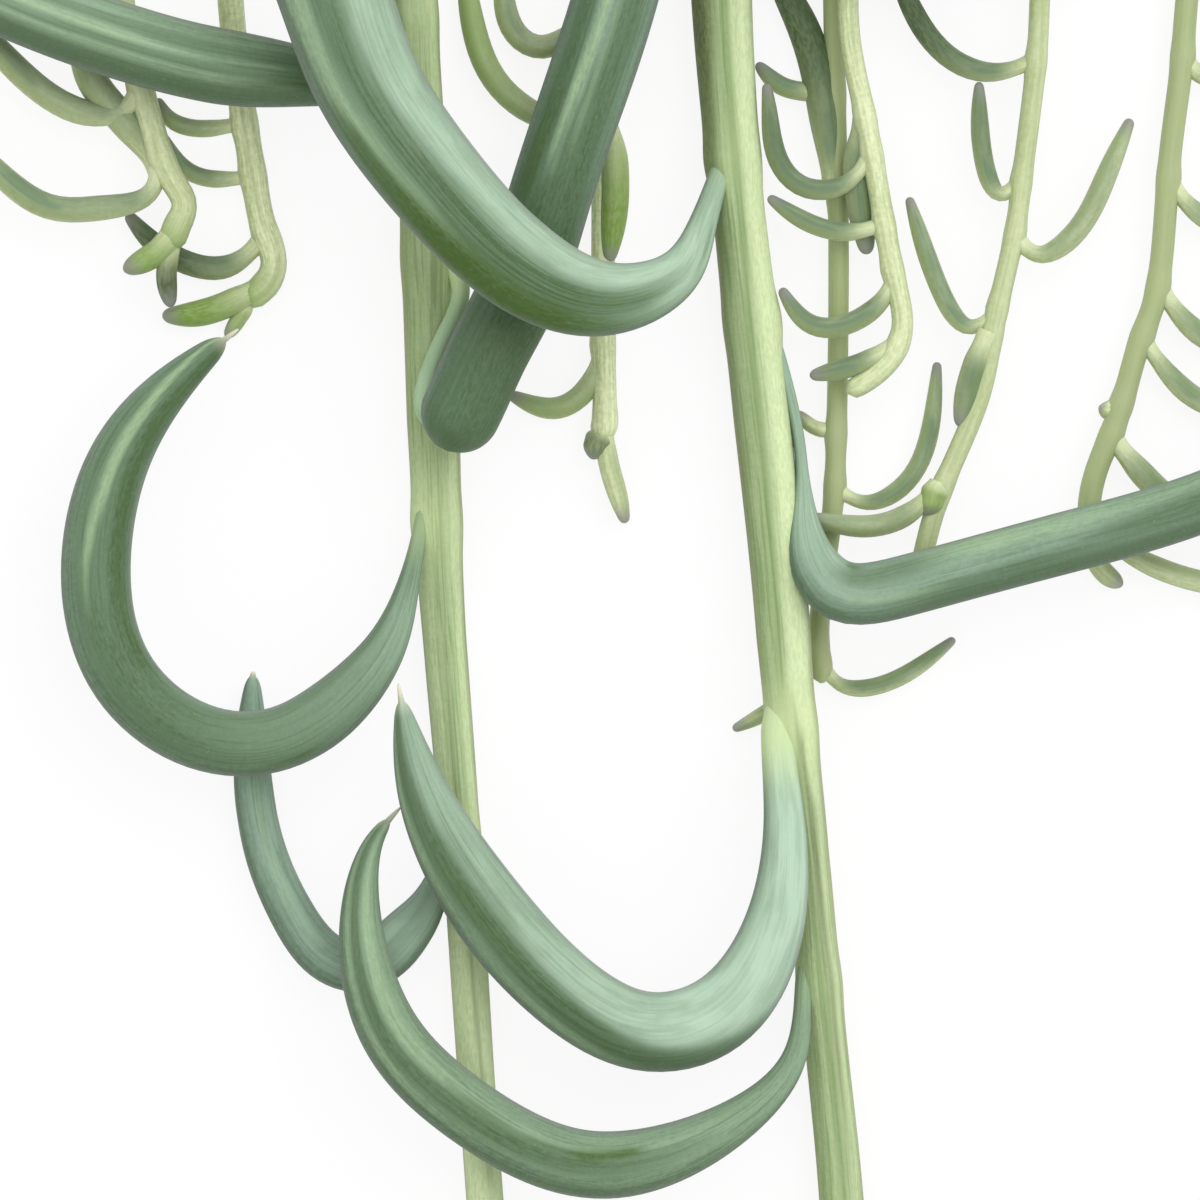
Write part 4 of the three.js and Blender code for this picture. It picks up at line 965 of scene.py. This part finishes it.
# ---- the plant ----
STEM_MARKS = {
    "left": [
        # A dark band on the flank away from the lamp, partly olive skin and partly painted shade; the pale
        # band after it, on the flank toward the lamp, is a painted highlight.
        ("streak", (0, 50, 30, 0.6), (0.2, 50, 30, 0.5), (0.3, 60, 25, 0.3), (0.4, 70, 20, 0)),
        ("line", (0.1, -50, 18, 0.4), (0.4, -45, 16, 0.5), (0.7, -50, 18, 0.4), (1, -50, 20, 0.4)),
        # The stem's own pale line, widened from 0.6 on into painted light where the leaves above shade the
        # stem.
        ("line", (0.4, 45, 30, 0), (0.46, 45, 30, 0.5), (0.56, 45, 30, 0.5), (0.6, 40, 40, 0.4),
         (0.64, 10, 80, 0.8), (0.7, 0, 80, 0.8), (0.78, 0, 80, 0.7), (0.86, 0, 60, 0)),
        ("streak", (0.42, -8, 4, 0), (0.46, -5, 5, 0.4), (0.56, 0, 4, 0.3), (0.64, -5, 6, 0.4),
         (0.72, -22, 8, 0.45), (0.78, -22, 5, 0)),
    ],
    "right": [
        # A dark olive band on the flank away from the lamp, partly olive skin and partly painted shade.
        ("streak", (0, 56, 40, 0.9), (0.22, 56, 38, 0.9), (0.27, 62, 33, 0.65), (0.34, 69, 27, 0.45),
         (0.45, 72, 24, 0.3), (0.52, 76, 18, 0)),
        # Painted shadow: a dark crease beside the base of right_leaf_4, where leaf and stem meet.
        ("streak", (0.52, -6, 5, 0), (0.55, -14, 7, 0.7), (0.58, -20, 9, 0.6), (0.64, -27, 10, 0.55),
         (0.7, -29, 12, 0.45), (0.8, -25, 8, 0)),
        ("window", (0.1, -5, 7, 0.6), (0.2, -5, 9, 0.75), (0.3, -8, 9, 0.75), (0.36, 5, 8, 0.7),
         (0.45, 9, 8, 0.7), (0.51, 14, 6, 0.5), (0.53, 14, 5, 0.2), (0.56, 2, 7, 0.7), (0.65, -3, 7, 0.7),
         (0.75, -7, 7, 0.7), (1, -4, 6, 0.5)),
        # A pale band on the flank toward the lamp: a painted highlight.
        ("line", (0.1, -55, 34, 0.6), (0.2, -54, 36, 0.8), (0.3, -50, 36, 0.8), (0.42, -46, 34, 0.9),
         (0.52, -30, 30, 0.8), (0.58, -40, 16, 0.4), (1, -40, 16, 0.3)),
    ],
    # The lower ends of these two shoots are still bright green.
    "shoot_1": [("line", (0.94, 0, 180, 0), (0.98, 0, 180, 0.6), (1, 0, 180, 0.8))],
    "shoot_2": [("line", (0.92, 0, 180, 0), (0.97, 0, 180, 0.5), (1, 0, 180, 0.8))],
}
# The scars of fallen leaves on the crown stem, as (share of its length, angle).
SCARS = [
    (0.07, -20), (0.12, 60), (0.18, -70), (0.23, 10), (0.36, 50), (0.43, -30), (0.52, 20),
    (0.64, -50), (0.71, 40), (0.82, -10), (0.9, 50),
]


def base_of(piece, name=None):
    """Where a piece leaves its stem, the way it sets off and how fresh the stem is there."""
    return (*piece.get("stalk", piece)["route"][:2], FRESHNESS.get(name, USUAL_FRESHNESS))


CROWN_BASES = [base_of(stem) for stem in [LEFT_STEM, RIGHT_STEM, *SHOOTS.values()]]
BRANCHES = {
    "left": (LEFT_STEM, LEFT_LEAVES), "right": (RIGHT_STEM, RIGHT_LEAVES),
    "crown": (CROWN, CROWN_LEAVES),
}
for side, (stem, leaves) in BRANCHES.items():
    is_crown = side == "crown"
    bases = [base_of(leaf, f"{side}_leaf_{i}") for i, leaf in enumerate(leaves, 1)]
    bases += CROWN_BASES * is_crown
    growth = Growth(side + "_stem")
    build = CROWN_BUILD if is_crown else STEM_BUILD
    add_stem(growth, stem, bases, build, STEM_MARKS.get(side, ()), SCARS * is_crown, is_crown)
    growth.finish(CROWN_SKIN if is_crown else STEM_SKIN, "crown" if is_crown else "stem")
    for i, leaf in enumerate(leaves, 1):
        growth = Growth(f"{side}_leaf_{i}")
        add_leaf(growth, leaf, stem["route"])
        growth.finish(LEAF_SKIN, "leaf")

for name, leaves in TIPS.items():
    growth = Growth(name)
    for leaf in leaves:
        add_small_leaf(growth, leaf, TUFT_LEAFINESS)
    growth.finish(SHOOT_SKIN, "leaf")

for name, stem in SHOOTS.items():
    growth = Growth(name)
    bases = [base_of(leaf) for leaf in stem["leaves"]]
    add_stem(growth, stem, bases, SHOOT_BUILD, STEM_MARKS.get(name, ()))
    for leaf in stem["leaves"]:
        add_small_leaf(growth, leaf)
    growth.finish(SHOOT_SKIN, "shoot")


# ---- stage: a pale floor, a big soft lamp at the upper right, the camera straight above ----
VIEW_CENTRE = (-7.5, -65)
VIEW_WIDTH = 75
FOCUS_HEIGHT = 3
LENS = 1000
SENSOR = 36
FLOOR_Z = -0.02
# From here on in metres.
FLOOR_REACH = 1.5
SIGHT = 10
LAMP_PLACE = (0.25, 0.3, 0.55)
LAMP_SIZE = 0.8
LAMP_POWER = 2.5
WHITE = colour(255, 255, 255)
DAYLIGHT = 0.9

camera_data = bpy.data.cameras.new("camera")
camera_data.lens = LENS
camera_data.sensor_width = SENSOR
camera_data.clip_end = SIGHT
distance = VIEW_WIDTH * LENS / SENSOR
SCENE.camera = add_object("camera", camera_data)
SCENE.camera.location = Vector((*VIEW_CENTRE, FOCUS_HEIGHT + distance)) * MM

paper = Skin("white paper")
glow = paper.node("ShaderNodeEmission", {}, {"Color": WHITE, "Strength": 1})
matte = paper.node("ShaderNodeBsdfDiffuse", {}, {"Color": colour(250, 250, 250)})
grain = paper.noise(paper.node("ShaderNodeTexCoord", {}, output="Object"), 9, 9, 2)
share = paper.ramp(grain, 0.3, 0.7, 0.1, 0.14)
blend = paper.node("ShaderNodeMixShader", {}, {0: share, 1: glow, 2: matte})

floor_mesh = bpy.data.meshes.new("floor")
corners = [(-1, -1), (1, -1), (1, 1), (-1, 1)]
corners = [(x * FLOOR_REACH, y * FLOOR_REACH, FLOOR_Z * MM) for x, y in corners]
floor_mesh.from_pydata(corners, [], [(0, 1, 2, 3)])
floor_mesh.materials.append(paper.finish(blend))
floor = add_object("floor", floor_mesh)

lamp_data = bpy.data.lights.new("window lamp", "AREA")
lamp_data.shape = "DISK"
lamp_data.size = LAMP_SIZE
lamp_data.energy = LAMP_POWER
lamp = add_object("window lamp", lamp_data)
lamp.location = Vector(LAMP_PLACE)
target = Vector((*VIEW_CENTRE, 0)) * MM
lamp.rotation_euler = (lamp.location - target).to_track_quat("Z", "Y").to_euler()
lamp.visible_camera = False

world = bpy.data.worlds.new("white room")
world.use_nodes = True
sky = world.node_tree.nodes["Background"].inputs
sky["Color"].default_value = WHITE
sky["Strength"].default_value = DAYLIGHT
SCENE.world = world
SCENE.view_settings.view_transform = "Standard"
